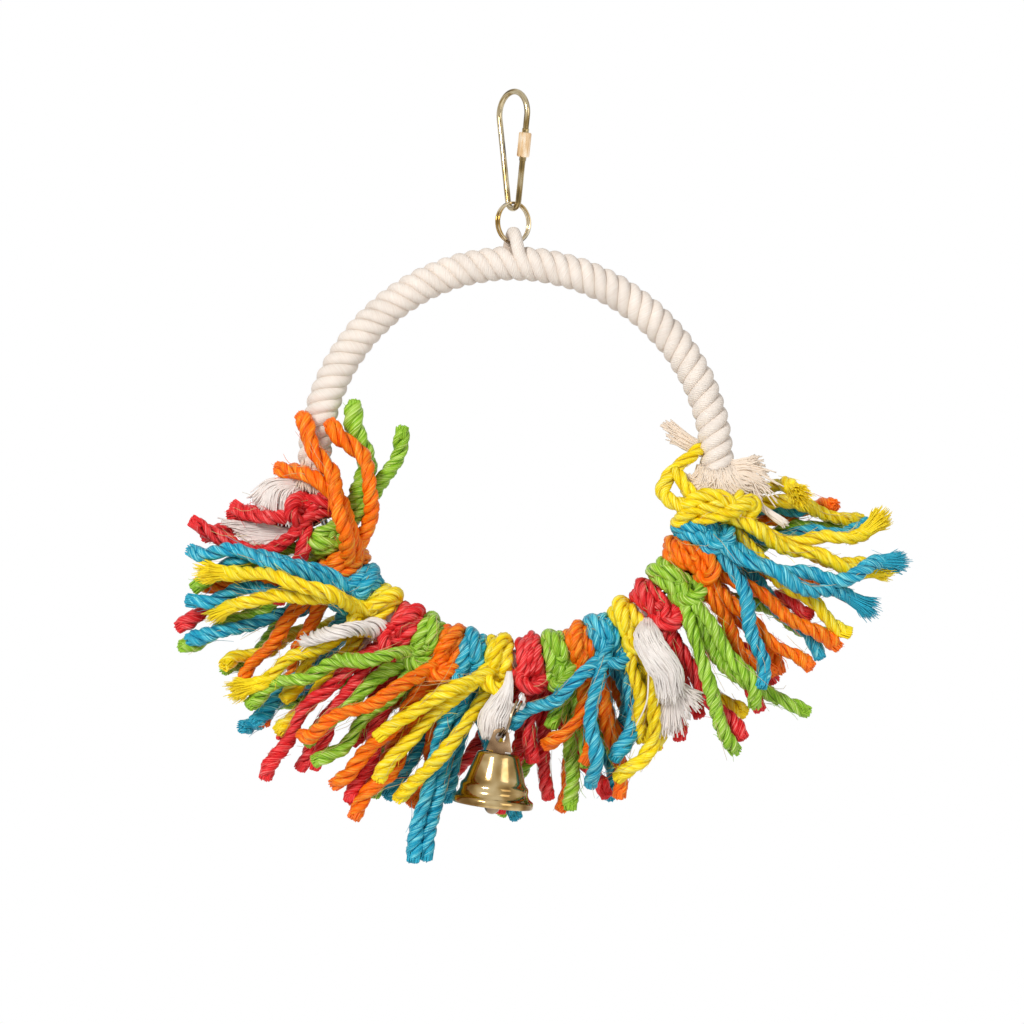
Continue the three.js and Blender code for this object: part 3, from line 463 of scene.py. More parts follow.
def yarn_material(name, colours, rough, bump, dull=0.86, spread=0.2, shine=0.5, **fibre):
    """Dyed or raw fibre: streaks from deep to light, and a painted shade in the crease colour on inner sides.
    """
    deep, body, light, crease_shade = colours
    material, tree, shader = new_material(name)
    values = {socket.replace("_", " "): value for socket, value in fibre.items()}
    yarn = add_node(tree, "Group", values, node_tree=spun_yarn).outputs
    # On the sisal the deep and light ends of the streaks are partly painted shade and painted sheen.
    dyed = colour_ramp(tree, yarn["Streak"], [(0.5 - spread, deep), (0.5, body), (0.5 + spread, light)])
    # Painted shade: the crease colour covers each tube's inner side.
    shade = add_node(tree, "Mix", {"Factor": yarn["Painted Shade"], "A": dyed, "B": srgb(*crease_shade)}, data_type="RGBA")
    mottle = add_node(tree, "Math", {0: yarn["Patch"], 1: yarn["Tone"]}, operation="ADD").outputs[0]
    value = brought_to(tree, mottle, MOTTLE_SPAN, (dull, BRIGHTEST))
    worn = add_node(tree, "HueSaturation", {"Value": value, "Color": shade.outputs["Result"]})
    fill_in(tree, shader, {
        "Base Color": worn.outputs["Color"],
        "Roughness": brought_to(tree, yarn["Streak"], STREAK_SPAN, rough[::-1]),
        "Normal": relief(tree, yarn["Height"], bump, FIBRE_RELIEF),
        "Specular IOR Level": shine,
    })
    return material

# Each list runs deep, body, light, then the crease colour, which is painted shade for the inner sides.
ROPE_COTTON = [(228, 213, 199), (236, 224, 212), (241, 233, 224), (216, 198, 181)]
END_COTTON = [(229, 212, 194), (241, 229, 215), (248, 240, 231), (231, 214, 195)]
COMBED = {"Fibres": 3.0, "Length": 0.2, "Slant": 0.02}
rope_cotton = yarn_material("rope_cotton", ROPE_COTTON, (0.75, 0.95), 0.5, 0.95,
                            Fibres=7.0, Length=0.3, Slant=-0.11, Yarns=14.0, Yarn_Slant=-0.9)
end_cotton = yarn_material("end_cotton", END_COTTON, (0.5, 0.75), 0.15, 0.95, **COMBED)
draw = np.random.default_rng(20)
ROPE_TAIL, ROPE_STEP, STRAND_SWELL = 3.5, 0.4, 1.03
END_SHIFT, SHIFT_FROM = 2.2, 0.62
rope = TubeBatch()
rope_sweep = 360 - rope_left + rope_right
rope_length = math.radians(rope_sweep) * HOOP_R
run = np.arange(-ROPE_TAIL, rope_length + ROPE_TAIL + ROPE_STEP / 2, ROPE_STEP)
angles = rope_left + np.degrees(run / HOOP_R)
top_run = math.radians(270 - rope_left) * HOOP_R
arch_top = ring_foot_z + RING_WIRE / 2 + EYE_ROOM + STRAND_D / 2
lift = arch_top - (hoop_z + HOOP_R) - STRAND_AT
shift_share = np.clip((run / rope_length - SHIFT_FROM) / (1 - SHIFT_FROM), 0, 1)
shifts = END_SHIFT * shift_share**2 * (3 - 2 * shift_share)
middle_line = np.array([on_hoop(a, s) for a, s in zip(angles, shifts)])
outs = np.array([outward(a) for a in angles])
fronts = np.tile((0.0, -1.0, 0.0), (len(run), 1))
for k in range(3):
    turn = 2 * np.pi * ((run - top_run) / ROPE_LAY + k / 3)
    reach = np.full(len(run), STRAND_AT)
    if k == 0:
        near_top = np.abs(run - top_run) < ROPE_LAY / 4
        reach += np.where(near_top, lift * np.cos(turn) ** 4, 0)
    radial = outs * np.cos(turn)[:, None] + fronts * np.sin(turn)[:, None]
    lively = 1 + 0.03 * np.sin(run / 3.1 + 2 * k) + 0.02 * np.sin(run / 1.3 + k)
    rope.tube(middle_line + radial * reach[:, None], STRAND_D / 2 * lively * STRAND_SWELL, 18, radial)

FAN_YARN_R, FAN_SCATTER, FAN_REACH, YARN_STEP = (0.42, 0.28), (0.5, 0.6, 0.7), (0.75, 1.1), 1.2

def yarn_fan(batch, root, knee, edge, count, crossing, material=1):
    """Loose yarns that leave the root side by side, pass over the knee and end along the edge."""
    lines = [np.array(points, float) for points in (root, knee, edge)]

    def at(line, share):
        return places_at([share], np.linspace(0, 1, len(line)), line)[0]

    for _ in range(count):
        share = draw.uniform()
        end_share = np.clip(share + draw.normal(0, crossing), 0, 1)
        start = at(lines[0], share) + draw.normal(0, FAN_SCATTER[0], 3)
        over = at(lines[1], (share + end_share) / 2) + draw.normal(0, FAN_SCATTER[1], 3)
        tip = over + (at(lines[2], end_share) - over) * draw.uniform(*FAN_REACH)
        tip = tip + draw.normal(0, FAN_SCATTER[2], 3)
        line, _ = smooth_line([start, over, tip], YARN_STEP)
        batch.tube(line, np.linspace(*FAN_YARN_R, len(line)), 5, None, None, material)

SKIRT_ROOT = [(76, -3, -152), (79, -6.6, -154), (83, -7.4, -155), (87, -6.6, -154), (90, -3, -152)]
SKIRT_KNEE = [(73.2, -4, -157), (77, -8.6, -159.5), (83, -9.6, -160.5), (89, -8.6, -159.5), (93, -4.5, -156)]
SKIRT_EDGE = [(70.8, -4.5, -156), (72.5, -8, -162.5), (78, -10.5, -165.6), (88, -10.5, -166.4),
              (95, -8, -164), (98, -5, -159)]
FAN_ROOT = [(89, -3, -150.5), (90.5, -3.5, -157)]
FAN_KNEE = [(94.5, -3.5, -149.6), (96.5, -4.5, -155), (95, -5, -161)]
FAN_EDGE = [(100.1, -3, -148.3), (104, -4, -155), (103, -5, -162), (99.6, -6, -168)]
STRAY_EDGE = [(106, -5, -152), (110, -6, -161), (104, -8, -172), (92, -12, -172)]
TAIL_ROOT = [(77, 2, -142.5), (77, 2, -148)]
TAIL_KNEE = [(70.8, 3.5, -138.6), (69.5, 3.5, -144.2)]
TAIL_EDGE = [(63.6, 4.5, -134.2), (61.6, 4.5, -135.5), (64.8, 4.5, -142)]
LEFT_ROOT = [(-86.5, -5, -150), (-79, -6, -152)]
LEFT_KNEE = [(-87.5, -6, -156), (-79, -7, -158)]
LEFT_EDGE = [(-88, -6.5, -161), (-78, -7, -165)]
yarn_fan(rope, SKIRT_ROOT, SKIRT_KNEE, SKIRT_EDGE, 300, 0.1)
yarn_fan(rope, SKIRT_ROOT, SKIRT_KNEE, SKIRT_EDGE, 40, 0.5)
yarn_fan(rope, FAN_ROOT, FAN_KNEE, FAN_EDGE, 130, 0.1)
yarn_fan(rope, FAN_ROOT, FAN_KNEE, STRAY_EDGE, 14, 0.15)
yarn_fan(rope, TAIL_ROOT, TAIL_KNEE, TAIL_EDGE, 80, 0.05)
yarn_fan(rope, LEFT_ROOT, LEFT_KNEE, LEFT_EDGE, 70, 0.12)

TUFT_STEP, TUFT_FILL, TUFT_LEAST_R, TUFT_TIP_R = 0.9, 1.2, 0.24, (0.32, 0.2)
TUFT_WAVE, TUFT_EXTRA, TUFT_SPREAD, TUFT_STRAY = 0.25, (0.05, 1.0), (-0.3, 0.5), 0.13

def tuft(batch, points, profile, yarns, loose, flat=1.0, material=0, twist=0.0):
    """A combed tuft: fine yarns that fill it and swell as the profile says, each waving and ending loose."""
    line, run = smooth_line(points, TUFT_STEP)
    _, side, other = carried_frames(line, (0.1, 1.0, 0.2))
    share = run / run[-1]
    swell = np.interp(share, [p for p, _ in profile], [r for _, r in profile])
    thick = np.maximum(TUFT_FILL * swell / math.sqrt(yarns), TUFT_LEAST_R)
    thick = np.concatenate([thick, np.minimum(thick[-1], TUFT_TIP_R)])
    for _ in range(yarns):
        turn, phase = draw.uniform(0, 2 * math.pi, 2)
        depth = math.sqrt(draw.uniform(0, 1))
        a = turn + TUFT_WAVE * np.sin(3 * share + phase) + twist * run
        out = side * (flat * np.cos(a))[:, None] + other * np.sin(a)[:, None]
        reach = swell * (0.94 * depth + 0.06 * np.sin(run / 1.7 + phase))
        strand = line + out * reach[:, None]
        ahead = unit(strand[-1] - strand[-4])
        extra = draw.uniform(*TUFT_EXTRA) ** 1.5 * loose
        spread = out[-1] * draw.uniform(*TUFT_SPREAD) * extra + draw.normal(0, TUFT_STRAY, 3) * extra
        tip = strand[-1]
        strand = np.vstack([strand, tip + ahead * extra * 0.5 + spread * 0.3, tip + ahead * extra + spread])
        along = np.concatenate([run, run[-1:] + 2, run[-1:] + 4]) + 90 * draw.uniform()
        batch.tube(strand, thick, 4, unit(np.vstack([out, out[-1:], out[-1:]])), along, material)

BUNDLE = [(96, -4, -163), (102, -5, -169.5), (110.5, -6, -175.5)]
tuft(rope, BUNDLE, [(0, 1.0), (0.6, 1.5), (1, 1.9)], 40, 2, 0.7, 1)
rope_piece = rope.piece("rope_strands", [rope_cotton, end_cotton])
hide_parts("cotton_rope")
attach(rope_piece, "hoop")

# Twine ties: dyed sisal of three plies, laid right-handed. Three lengths are hitched round the hoop wire at
# each place. Six ends hang free, or five by the bell, some at the front and some at the rear, and all of them
# fray at their cut tips.
TWINE_SHOWS = 6.0
PLY_AT, PLY_R, TWINE_LAY, PLY_SIDES = 0.245 * TWINE_SHOWS, 0.27 * TWINE_SHOWS, 18.0, 9
COTTON_END_D, LOOP_CORD, LOOP_GAP = 5.0, 2.2, 5.0
UPPER_SEAT, LOWER_SEAT, STEEPEST_OUT, END_STEP = 68.0, 34.0, 100.0, 14.5
LAY_GAP, LAY_SAG, LAY_PASSES, SNUG, LEAST_SHARE = 0.4, 1.5, 60, 0.001, 0.3
FRAY_D, FRAY_LENGTH = 18.0, 7.0
BELL_TIE, LOOP_PLACE, RING_LEAN, RING_REACH = 11, (1.0, -15.0, -18.1), math.radians(28), math.radians(30)
BELL_MOUTH_D, BELL_CROWN_D, BELL_HEIGHT, BELL_LEAN, TAB_HOLE_RISE = 33.0, 17.8, 21.7, math.radians(7), 6.1
front = np.array([0.0, -1.0, 0.0])
loop_at = on_hoop(tie_angles[BELL_TIE]) + np.array(LOOP_PLACE)
ring_hang = np.array([-math.sin(RING_LEAN), 0, -math.cos(RING_LEAN)])
ring_across = np.array([math.cos(RING_LEAN), 0, -math.sin(RING_LEAN)])
ring_seat = ring_mean_r - (LOOP_CORD + RING_WIRE) / 2 - CLEAR
bell_ring_at = loop_at + (ring_hang * math.cos(RING_REACH) + front * math.sin(RING_REACH)) * ring_seat
bell_pivot = bell_ring_at + ring_hang * ring_mean_r
bell_down = np.array([-math.sin(BELL_LEAN), 0, -math.cos(BELL_LEAN)])

def bell_loop():
    """The points of the cotton loop that the bell's ring hangs in."""
    half = (LOOP_GAP + LOOP_CORD) / 2
    seat = on_hoop(tie_angles[BELL_TIE], COTTON_KNOT_D / 4, -COTTON_KNOT_D / 3)
    at = lambda share, rise: loop_at + (seat - loop_at) * rise + ring_across * share * half
    root = lambda share: seat + np.array([share * (LOOP_CORD + CLEAR) / 2, 0, 0])
    return [root(1), at(1, 0.55), at(1, 0.16), at(0.5, 0), at(-0.5, 0), at(-1, 0.16), at(-1, 0.55), root(-1)]

def end_route(index, end, side, share, raised, d):
    """The points of a free end, from its seat on the tie outwards, turning from its lean by its bend."""
    yarn, angle = TIES[index][0], tie_angles[index]
    lean, bend, reach = end
    seat = (knot_d_of(yarn) - d) / 2
    turn = math.radians(UPPER_SEAT if raised else LOWER_SEAT)
    in_or_out = -1 if abs(lean) > STEEPEST_OUT else 1
    place = on_hoop(angle, in_or_out * seat * math.cos(turn), side * seat * math.sin(turn))
    points = [place + along_hoop(angle) * share * (lane_of(yarn) - d) / 2]
    steps = max(2, math.floor(reach / END_STEP + 0.5))
    for i in range(steps):
        points.append(points[i] + outward(angle + lean + bend * (i + 0.5) / steps) * reach / steps)
    return [list(map(float, p)) for p in points]

def clamp(x):
    return min(1.0, max(0.0, x))

def nearest(p, q, a, b):
    """How far along the first bar the two come closest, and the gap there."""
    u = (q[0] - p[0], q[1] - p[1], q[2] - p[2])
    v = (b[0] - a[0], b[1] - a[1], b[2] - a[2])
    w = (p[0] - a[0], p[1] - a[1], p[2] - a[2])
    dot = lambda m, k: m[0] * k[0] + m[1] * k[1] + m[2] * k[2]
    uu, uv, vv, uw, vw = dot(u, u), dot(u, v), dot(v, v), dot(u, w), dot(v, w)
    flat = uu * vv - uv * uv
    s = clamp((uv * vw - vv * uw) / flat) if flat > 1e-9 else 0.5
    t = clamp((uv * s + vw) / vv)
    s = clamp((uv * t - uw) / uu)
    t = clamp((uv * s + vw) / vv)
    return s, tuple(w[k] + u[k] * s - v[k] * t for k in range(3))

laid = []

def lay_bars(points, radius, tie=None, push=0, knot=False):
    """Notes the stretches of something in place, which later strands have to clear."""
    for i in range(len(points) - 1):
        laid.append((points[i], points[i + 1], radius, tie, i == 0, knot, push))

def round_hoop(angle, offset, outer_r, lobe_r, tie=None):
    """One turn of a knot or a fray round the hoop, as stretches to clear."""
    reach, shift = outer_r - lobe_r, along_hoop(angle) * offset
    turns = [math.pi * i / 4 for i in range(9)]
    points = [on_hoop(angle, reach * math.cos(t), reach * math.sin(t)) + shift for t in turns]
    lay_bars(points, lobe_r, tie, 0, True)

for index, (yarn, _, _, _) in enumerate(TIES):
    offset = lane_of(yarn) / 2 - KNOT_LANE / 2
    for side in (-1, 1):
        round_hoop(tie_angles[index], side * offset, knot_d_of(yarn) / 2, KNOT_LANE / 2, index)
for angle, in_rope in ((rope_right, -1), (rope_left, 1)):
    round_hoop(angle, in_rope * FRAY_LENGTH / 4, FRAY_D / 2, FRAY_LENGTH / 4)
    round_hoop(angle, in_rope * FRAY_LENGTH / 2, (FRAY_D + ROPE_D) / 4, FRAY_LENGTH / 4)
inset = math.degrees(ROPE_D / 2 / HOOP_R)
lay_bars([on_hoop(rope_left + inset + (rope_sweep - 2 * inset) * i / 24) for i in range(25)], ROPE_D / 2)
lay_bars(bell_loop(), LOOP_CORD / 2, BELL_TIE, 1)
turns = [math.pi * i / 6 for i in range(13)]
down, ahead = ring_hang * ring_mean_r, front * ring_mean_r
coils = [bell_ring_at + down * math.cos(t) + ahead * math.sin(t) for t in turns]
lay_bars(coils, coil_offset + RING_WIRE / 2, None, 1)
mouth_depth = TAB_HOLE_RISE + BELL_HEIGHT
lay_bars([bell_pivot + bell_down * mouth_depth / part for part in (3, 2)], BELL_CROWN_D / 2, None, 1)
sway = np.array([BELL_MOUTH_D / 5, 0, 0])
lay_bars([bell_pivot + bell_down * mouth_depth + way * sway for way in (-1, 1)], BELL_MOUTH_D / 2, None, 1)

def lay_over(points, side, radius, tie):
    """Lays a strand over what lies there: stretches that would touch move to the front or the rear."""
    lows = np.array([(min(b[0][0], b[1][0]) - b[2], min(b[0][2], b[1][2]) - b[2]) for b in laid])
    highs = np.array([(max(b[0][0], b[1][0]) + b[2], max(b[0][2], b[1][2]) + b[2]) for b in laid])
    close = []
    room = radius + LAY_GAP
    for p, q in zip(points[:-1], points[1:]):
        near = (lows[:, 0] < max(p[0], q[0]) + room) & (highs[:, 0] > min(p[0], q[0]) - room)
        near &= (lows[:, 1] < max(p[2], q[2]) + room) & (highs[:, 1] > min(p[2], q[2]) - room)
        close.append([laid[k] for k in np.nonzero(near)[0]])
    for _ in range(LAY_PASSES):
        clear = True
        for i, bars in enumerate(close):
            for a, b, r, owner, first, knot, push in bars:
                if owner == tie and (knot or first or i == 0):
                    continue
                need = radius + r + LAY_GAP
                s, gap = nearest(points[i], points[i + 1], a, b)
                if math.sqrt(gap[0]**2 + gap[1]**2 + gap[2]**2) >= need - SNUG:
                    continue
                shift = (push or side) * math.sqrt(need * need - gap[0]**2 - gap[2]**2) - gap[1]
                share = max(s, LEAST_SHARE) if i == 0 else s
                weight = share * share if i == 0 else share * share + (1 - share) ** 2
                points[i + 1][1] += shift * share / weight
                points[i][1] += 0 if i == 0 else shift * (1 - share) / weight
                clear = False
        for i in range(1, len(points) - 1):
            between = (points[i - 1][1] + points[i + 1][1]) / 2
            if side * (between - points[i][1]) > LAY_SAG:
                points[i][1] = between - side * LAY_SAG
        if clear:
            break

LAID_LAST = [5, 1]
ends = []
for index in [i for i in reversed(range(len(TIES))) if i not in LAID_LAST] + LAID_LAST:
    yarn, _, front_ends, rear_ends = TIES[index]
    d = COTTON_END_D if yarn == "cotton" else TWINE_D
    for side, group in ((-1, front_ends), (1, rear_ends)):
        fanned = sorted(group, key=lambda end: end[0] + end[1] / 2)
        for rank, end in enumerate(fanned):
            share = 2 * rank / (len(fanned) - 1) - 1 if len(fanned) > 1 else 0
            raised = rank % 2 == 1
            ends.append({
                "tie": index, "side": side, "d": d, "lean": end[0], "reach": end[2], "share": share,
                "inward": abs(end[0]) > STEEPEST_OUT, "raised": raised,
                "route": end_route(index, end, side, share, raised, d),
            })
front_laid = [end for end in ends if end["side"] < 0]
rear_laid = sorted((end for end in ends if end["side"] > 0), key=lambda end: abs(end["lean"]))
for end in front_laid + rear_laid:
    lay_over(end["route"], end["side"], end["d"] / 2, end["tie"])
    lay_bars(end["route"], end["d"] / 2, end["tie"])

HITCH_LANE, HITCH_AT, HITCH_TILT, CLOSE_UP = 2.9, 7.0, 0.22, 1.5
CROSS_RISE, CROSS_WIDE, TUCKED = 2.9, 2.3, 0.15
BAND_SIDE, BAND_TOP = [(4.5, 4.2, 2.0), (8.2, 4.6, 6.6), (10.4, 3.0, 10.2)], (11.6, 0.0, 11.4)
BAND_SLOPE, BAND_RISE, BAND_HALF = 2.2, 0.6, 4.6
TIP_BACK, TIP_SWELL = [0, 0.7, 1.8, 4, 10], [0.6, 0.88, 1.08, 1.14, 1.0]

def on_hitch(index, out, across, depth):
    """A place on a tie, from the hoop wire's middle: out from the hoop, along it, and to the front."""
    angle = tie_angles[index]
    across += sum(CLOSE_UP * way for way in (-1, 1) if TIES[(index + way) % len(TIES)][0] == "cotton")
    return on_hoop(angle, out, -depth - HITCH_TILT * across) + along_hoop(angle) * across

def wrap_round(index, side, lane, leave, raised=False, inward=False):
    """The turn that an end takes round the hoop wire before it leaves its hitch."""
    start, stop = (-TUCKED, math.pi - leave) if inward else (math.pi + TUCKED, leave)
    points = []
    for s in np.linspace(0, 1, 9)[:-1]:
        turn = start + (stop - start) * s
        reach, across = HITCH_AT, lane
        if raised:
            reach += CROSS_RISE * math.sin(math.pi * min(1, s * 1.1)) ** 0.7
            across = CROSS_WIDE * math.cos(math.pi * s) * (1 if index % 2 else -1)
        points.append(on_hitch(index, reach * math.cos(turn), across, -side * reach * math.sin(turn)))
    return points

def band_over(index, side):
    """The bight that crosses the ends where they leave the hitch."""
    slope, rise = draw.uniform(-BAND_SLOPE, BAND_SLOPE), draw.uniform(-BAND_RISE, BAND_RISE)
    shape = [(out, -across, depth) for out, across, depth in BAND_SIDE] + [BAND_TOP] + BAND_SIDE[::-1]
    return [on_hitch(index, out + slope * across / BAND_HALF, across, -side * (depth + rise))
            for out, across, depth in shape]

def plies_of(points, step, start, wander=0.0, girth=1.0):
    """The three plies of a twine through the points, wandering more towards its tip, and its middle line."""
    line, run = smooth_line(points, step)
    _, side, other = carried_frames(line)
    share = run / run[-1]
    away = wander * share * share * (3 - 2 * share)
    aside, askew = away * np.sin(run / 5.6 + start), away * np.sin(run / 4.6 + 2 * start)
    line = line + side * aside[:, None] + other * askew[:, None]
    swell = girth * (1 + 0.08 * np.sin(run / 8.3 + 3 * start) + 0.05 * np.sin(run / 3.7 + start))
    swell *= np.interp(run[-1] - run, TIP_BACK, TIP_SWELL)
    plies = []
    for k in range(3):
        turn = (start + 2 * np.pi * (k / 3 + run / TWINE_LAY) + 0.7 * np.sin(run / 9 + start))[:, None]
        out = side * np.cos(turn) + other * np.sin(turn)
        uneven = 1 + 0.08 * np.sin(run / 2.3 + 2 * k + start) + 0.05 * np.sin(run / 0.9 + start * 3)
        middle = line + out * (PLY_AT * swell)[:, None]
        plies.append((middle, out, PLY_R * swell * uneven, run + start * 60 + 300 * k))
    return line, run, plies

def eased(route):
    """A free end's route with its sharp turns drawn out until the twine can take them."""
    line, _ = smooth_line(route, EASE_STEP)
    for _ in range(EASE_PASSES):
        steps = unit(np.diff(line, axis=0))
        turns = np.arccos(np.clip((steps[:-1] * steps[1:]).sum(1), -1, 1))
        if EASE_STEP > turns.max() * TIGHTEST_BEND:
            break
        line[1:-1] += ((line[:-2] + line[2:]) / 2 - line[1:-1]) / 2
    return list(line)

def add_plies(batch, plies, lo, hi):
    """The plies from one place along the twine to another."""
    for line, out, thick, along in plies:
        batch.tube(line[lo:hi], thick[lo:hi], PLY_SIDES, out[lo:hi], along[lo:hi])

BRUSH_SHARE, BRUSH_R = 0.44, np.array((1, 1, 1, 0.85, 0.5))
BRUSH_STAGES = ((0.3, 0.3), (0.75, 0.8), (1, 1))
BRUSH_LENGTHS, BRUSH_DOME, BRUSH_STRAY = (0.75, 1.08), 0.45, 0.09

def brush(batch, line, count, length, spread, back, thick):
    """Loose fibres at a cut tip: they leave the twine a little behind it, follow it and spread out."""
    reach = np.linalg.norm(line - line[-1], axis=1)
    start, bend = (line[np.nonzero(reach > share * back)[0][-1]] for share in (1, 0.5))
    ahead = unit(line[-1] - line[-5])
    side = unit(np.cross(ahead, (0.2, 0.9, 0.35)))
    other = np.cross(ahead, side)
    for _ in range(count):
        a, out = draw.uniform(0, 2 * math.pi), math.sqrt(draw.uniform(0, 1))
        radial = side * math.cos(a) + other * math.sin(a)
        size = length * draw.uniform(*BRUSH_LENGTHS) * (1 - BRUSH_DOME * out * out)
        bow = radial * out * spread * size + draw.normal(0, BRUSH_STRAY, 3) * size
        seat = radial * out * TWINE_SHOWS * BRUSH_SHARE
        tip = line[-1] + seat
        path = [start + seat, bend + seat]
        path += [tip + ahead * size * far + bow * wide for far, wide in BRUSH_STAGES]
        batch.tube(np.array(path), thick * BRUSH_R, 4, None, np.array([0, 2, 4, 6, 8]) + 37 * a)

BELL_SWINGS, TIGHT_SHARE, BARE_INSIDE, HAIR_CURL, HAIR_OFF = 34.0, 0.12, 8.0, 0.2, 0.7
HAIR_R, HAIR_SHARE, SHORT_HAIR, LONG_HAIR = (0.14, 0.13, 0.11, 0.08), 0.46, (3, 8), (8, 17)
bell_middle = bell_pivot + bell_down * mouth_depth * 0.7

def hairs(batch, line, count, long_ones):
    """Single fibres loose along the twine, tight by the bell: short dyed ones and a few long undyed ones."""
    tangent = unit(np.gradient(line, axis=0))
    step = np.linalg.norm(line[1] - line[0])
    middle = on_hoop(0) - np.array([HOOP_R, 0, 0])
    along = np.array([0, 0.35, 0.7, 1])
    for which in range(count + long_ones):
        k = int(draw.integers(1, len(line) - 1))
        radial = unit(np.cross(tangent[k], draw.normal(0, 1, 3)))
        way = draw.choice((-1, 1))
        size = draw.uniform(*(LONG_HAIR if which >= count else SHORT_HAIR))
        if not 0 <= k + way * size / step < len(line):
            way = 1 if k < len(line) / 2 else -1
        at = np.clip(k + way * along * size / step, 0, len(line) - 1)
        curl = draw.normal(0, HAIR_CURL, 3) * size
        off = draw.uniform(0.0, HAIR_OFF) ** 2
        path = places_at(at, np.arange(len(line)), line)
        loose = TIGHT_SHARE if np.linalg.norm(line[k] - bell_middle) < BELL_SWINGS else 1
        stray = np.outer(along * along, radial * off * size + curl) * loose
        path += radial * TWINE_SHOWS * HAIR_SHARE + stray
        if np.hypot(*(path[-1] - middle)[[0, 2]]) > HOOP_R - BARE_INSIDE:
            batch.tube(path, HAIR_R, 3, None, None, 1 if which >= count else 0)

# Each dye runs deep, body, light, crease. The streaks from deep to light are the fibre's own colour and also
# painted shade and painted sheen. The crease colour is painted shade for the plies' inner sides.
SISAL = {
    "yellow": ((238, 190, 0), (255, 226, 0), (255, 246, 120), (198, 144, 0)),
    "blue": ((0, 112, 160), (28, 168, 196), (150, 234, 238), (0, 66, 112)),
    "orange": ((242, 80, 0), (255, 118, 0), (255, 178, 60), (194, 48, 0)),
    "green": ((92, 150, 18), (152, 200, 42), (216, 240, 140), (54, 98, 4)),
    "red": ((190, 10, 22), (234, 38, 42), (255, 126, 122), (120, 0, 12)),
}
SISAL_SHINE = 0.18
EASE_STEP, EASE_PASSES, TIGHTEST_BEND = 3.0, 14, 14.0
# Single ends are known by their tie's index and their lean.
FANNED = {(0, 37), (0, 25), (0, -62), (1, 24), (1, 16), (18, 83), (18, 70), (18, 17)}
GIRTHS = {(21, 143): 1.4, (20, 122): 1.12, (20, 161): 1.12, (20, 126): 1.12}
BY_THE_BELL = (9, 10, 11, 12, 13)
SLACK_LOOP = [
    [(76, 0, -145), (73.5, -5, -147.5), (67, -7, -152.5), (62, -8, -159), (61.5, -8.5, -164),
     (66, -9.5, -167.5), (73, -10, -169.5)],
    [(65, -8, -154), (68, -9, -157.5), (71, -9.5, -162), (75, -9.5, -166)],
    [(69, -8.5, -171.5), (71.5, -11.5, -168.2), (75.5, -13, -165.2), (81.2, -13.5, -164.2), (86.6, -13, -166),
     (90.8, -11, -169.5), (93, -8, -173)],
    [(72, -7, -176), (77, -11.5, -174), (83.3, -13, -172.4), (88.3, -13.5, -171), (92.9, -13, -168.2),
     (96.5, -11.5, -166.5), (98, -9, -169.5), (95.8, -8, -173)],
    [(73, 7, -177), (68.4, 3, -176.8), (67.4, -3, -176.2), (68.4, -8, -174.4), (70.8, -11, -171.9),
     (75.3, -12.5, -170), (81.2, -13, -169.2), (86.6, -11, -168.2)],
]
PLY_STEP, WANDER, BY_BELL_WANDER = 1.1, 1.6, 0.6
FANNED_TIP, PLAIN_TIP = (210, 10, 0.42, 8, 0.23), (60, 1.6, 0.1, 2.4, 0.36)
END_HAIRS, END_LONG_HAIRS, HITCH_HAIRS, BAND_HAIRS = 34, 6, (12, 3), (9, 1)
# Deep, body, light, then the crease colour as painted shade for inner sides.
STRAY = [(196, 168, 104), (226, 204, 146), (242, 228, 188), (210, 184, 124)]
undyed = yarn_material("stray_fibre", STRAY, (0.4, 0.6), 0.1)
sisal, loose_sisal = {}, {}
for yarn, dye in SISAL.items():
    sisal[yarn] = yarn_material(yarn + "_sisal", dye, (0.2, 0.42), 1.0, 0.84, 0.17, SISAL_SHINE,
                                Fibres=3.2, Length=0.12, Slant=-0.03)
    # Loose fibres take the body colour in place of the painted crease shade.
    loose_sisal[yarn] = yarn_material(yarn + "_fibre", dye[:3] + dye[1:2], (0.4, 0.62), 0.1,
                                      Fibres=2.0, Length=0.2, Slant=0.02)

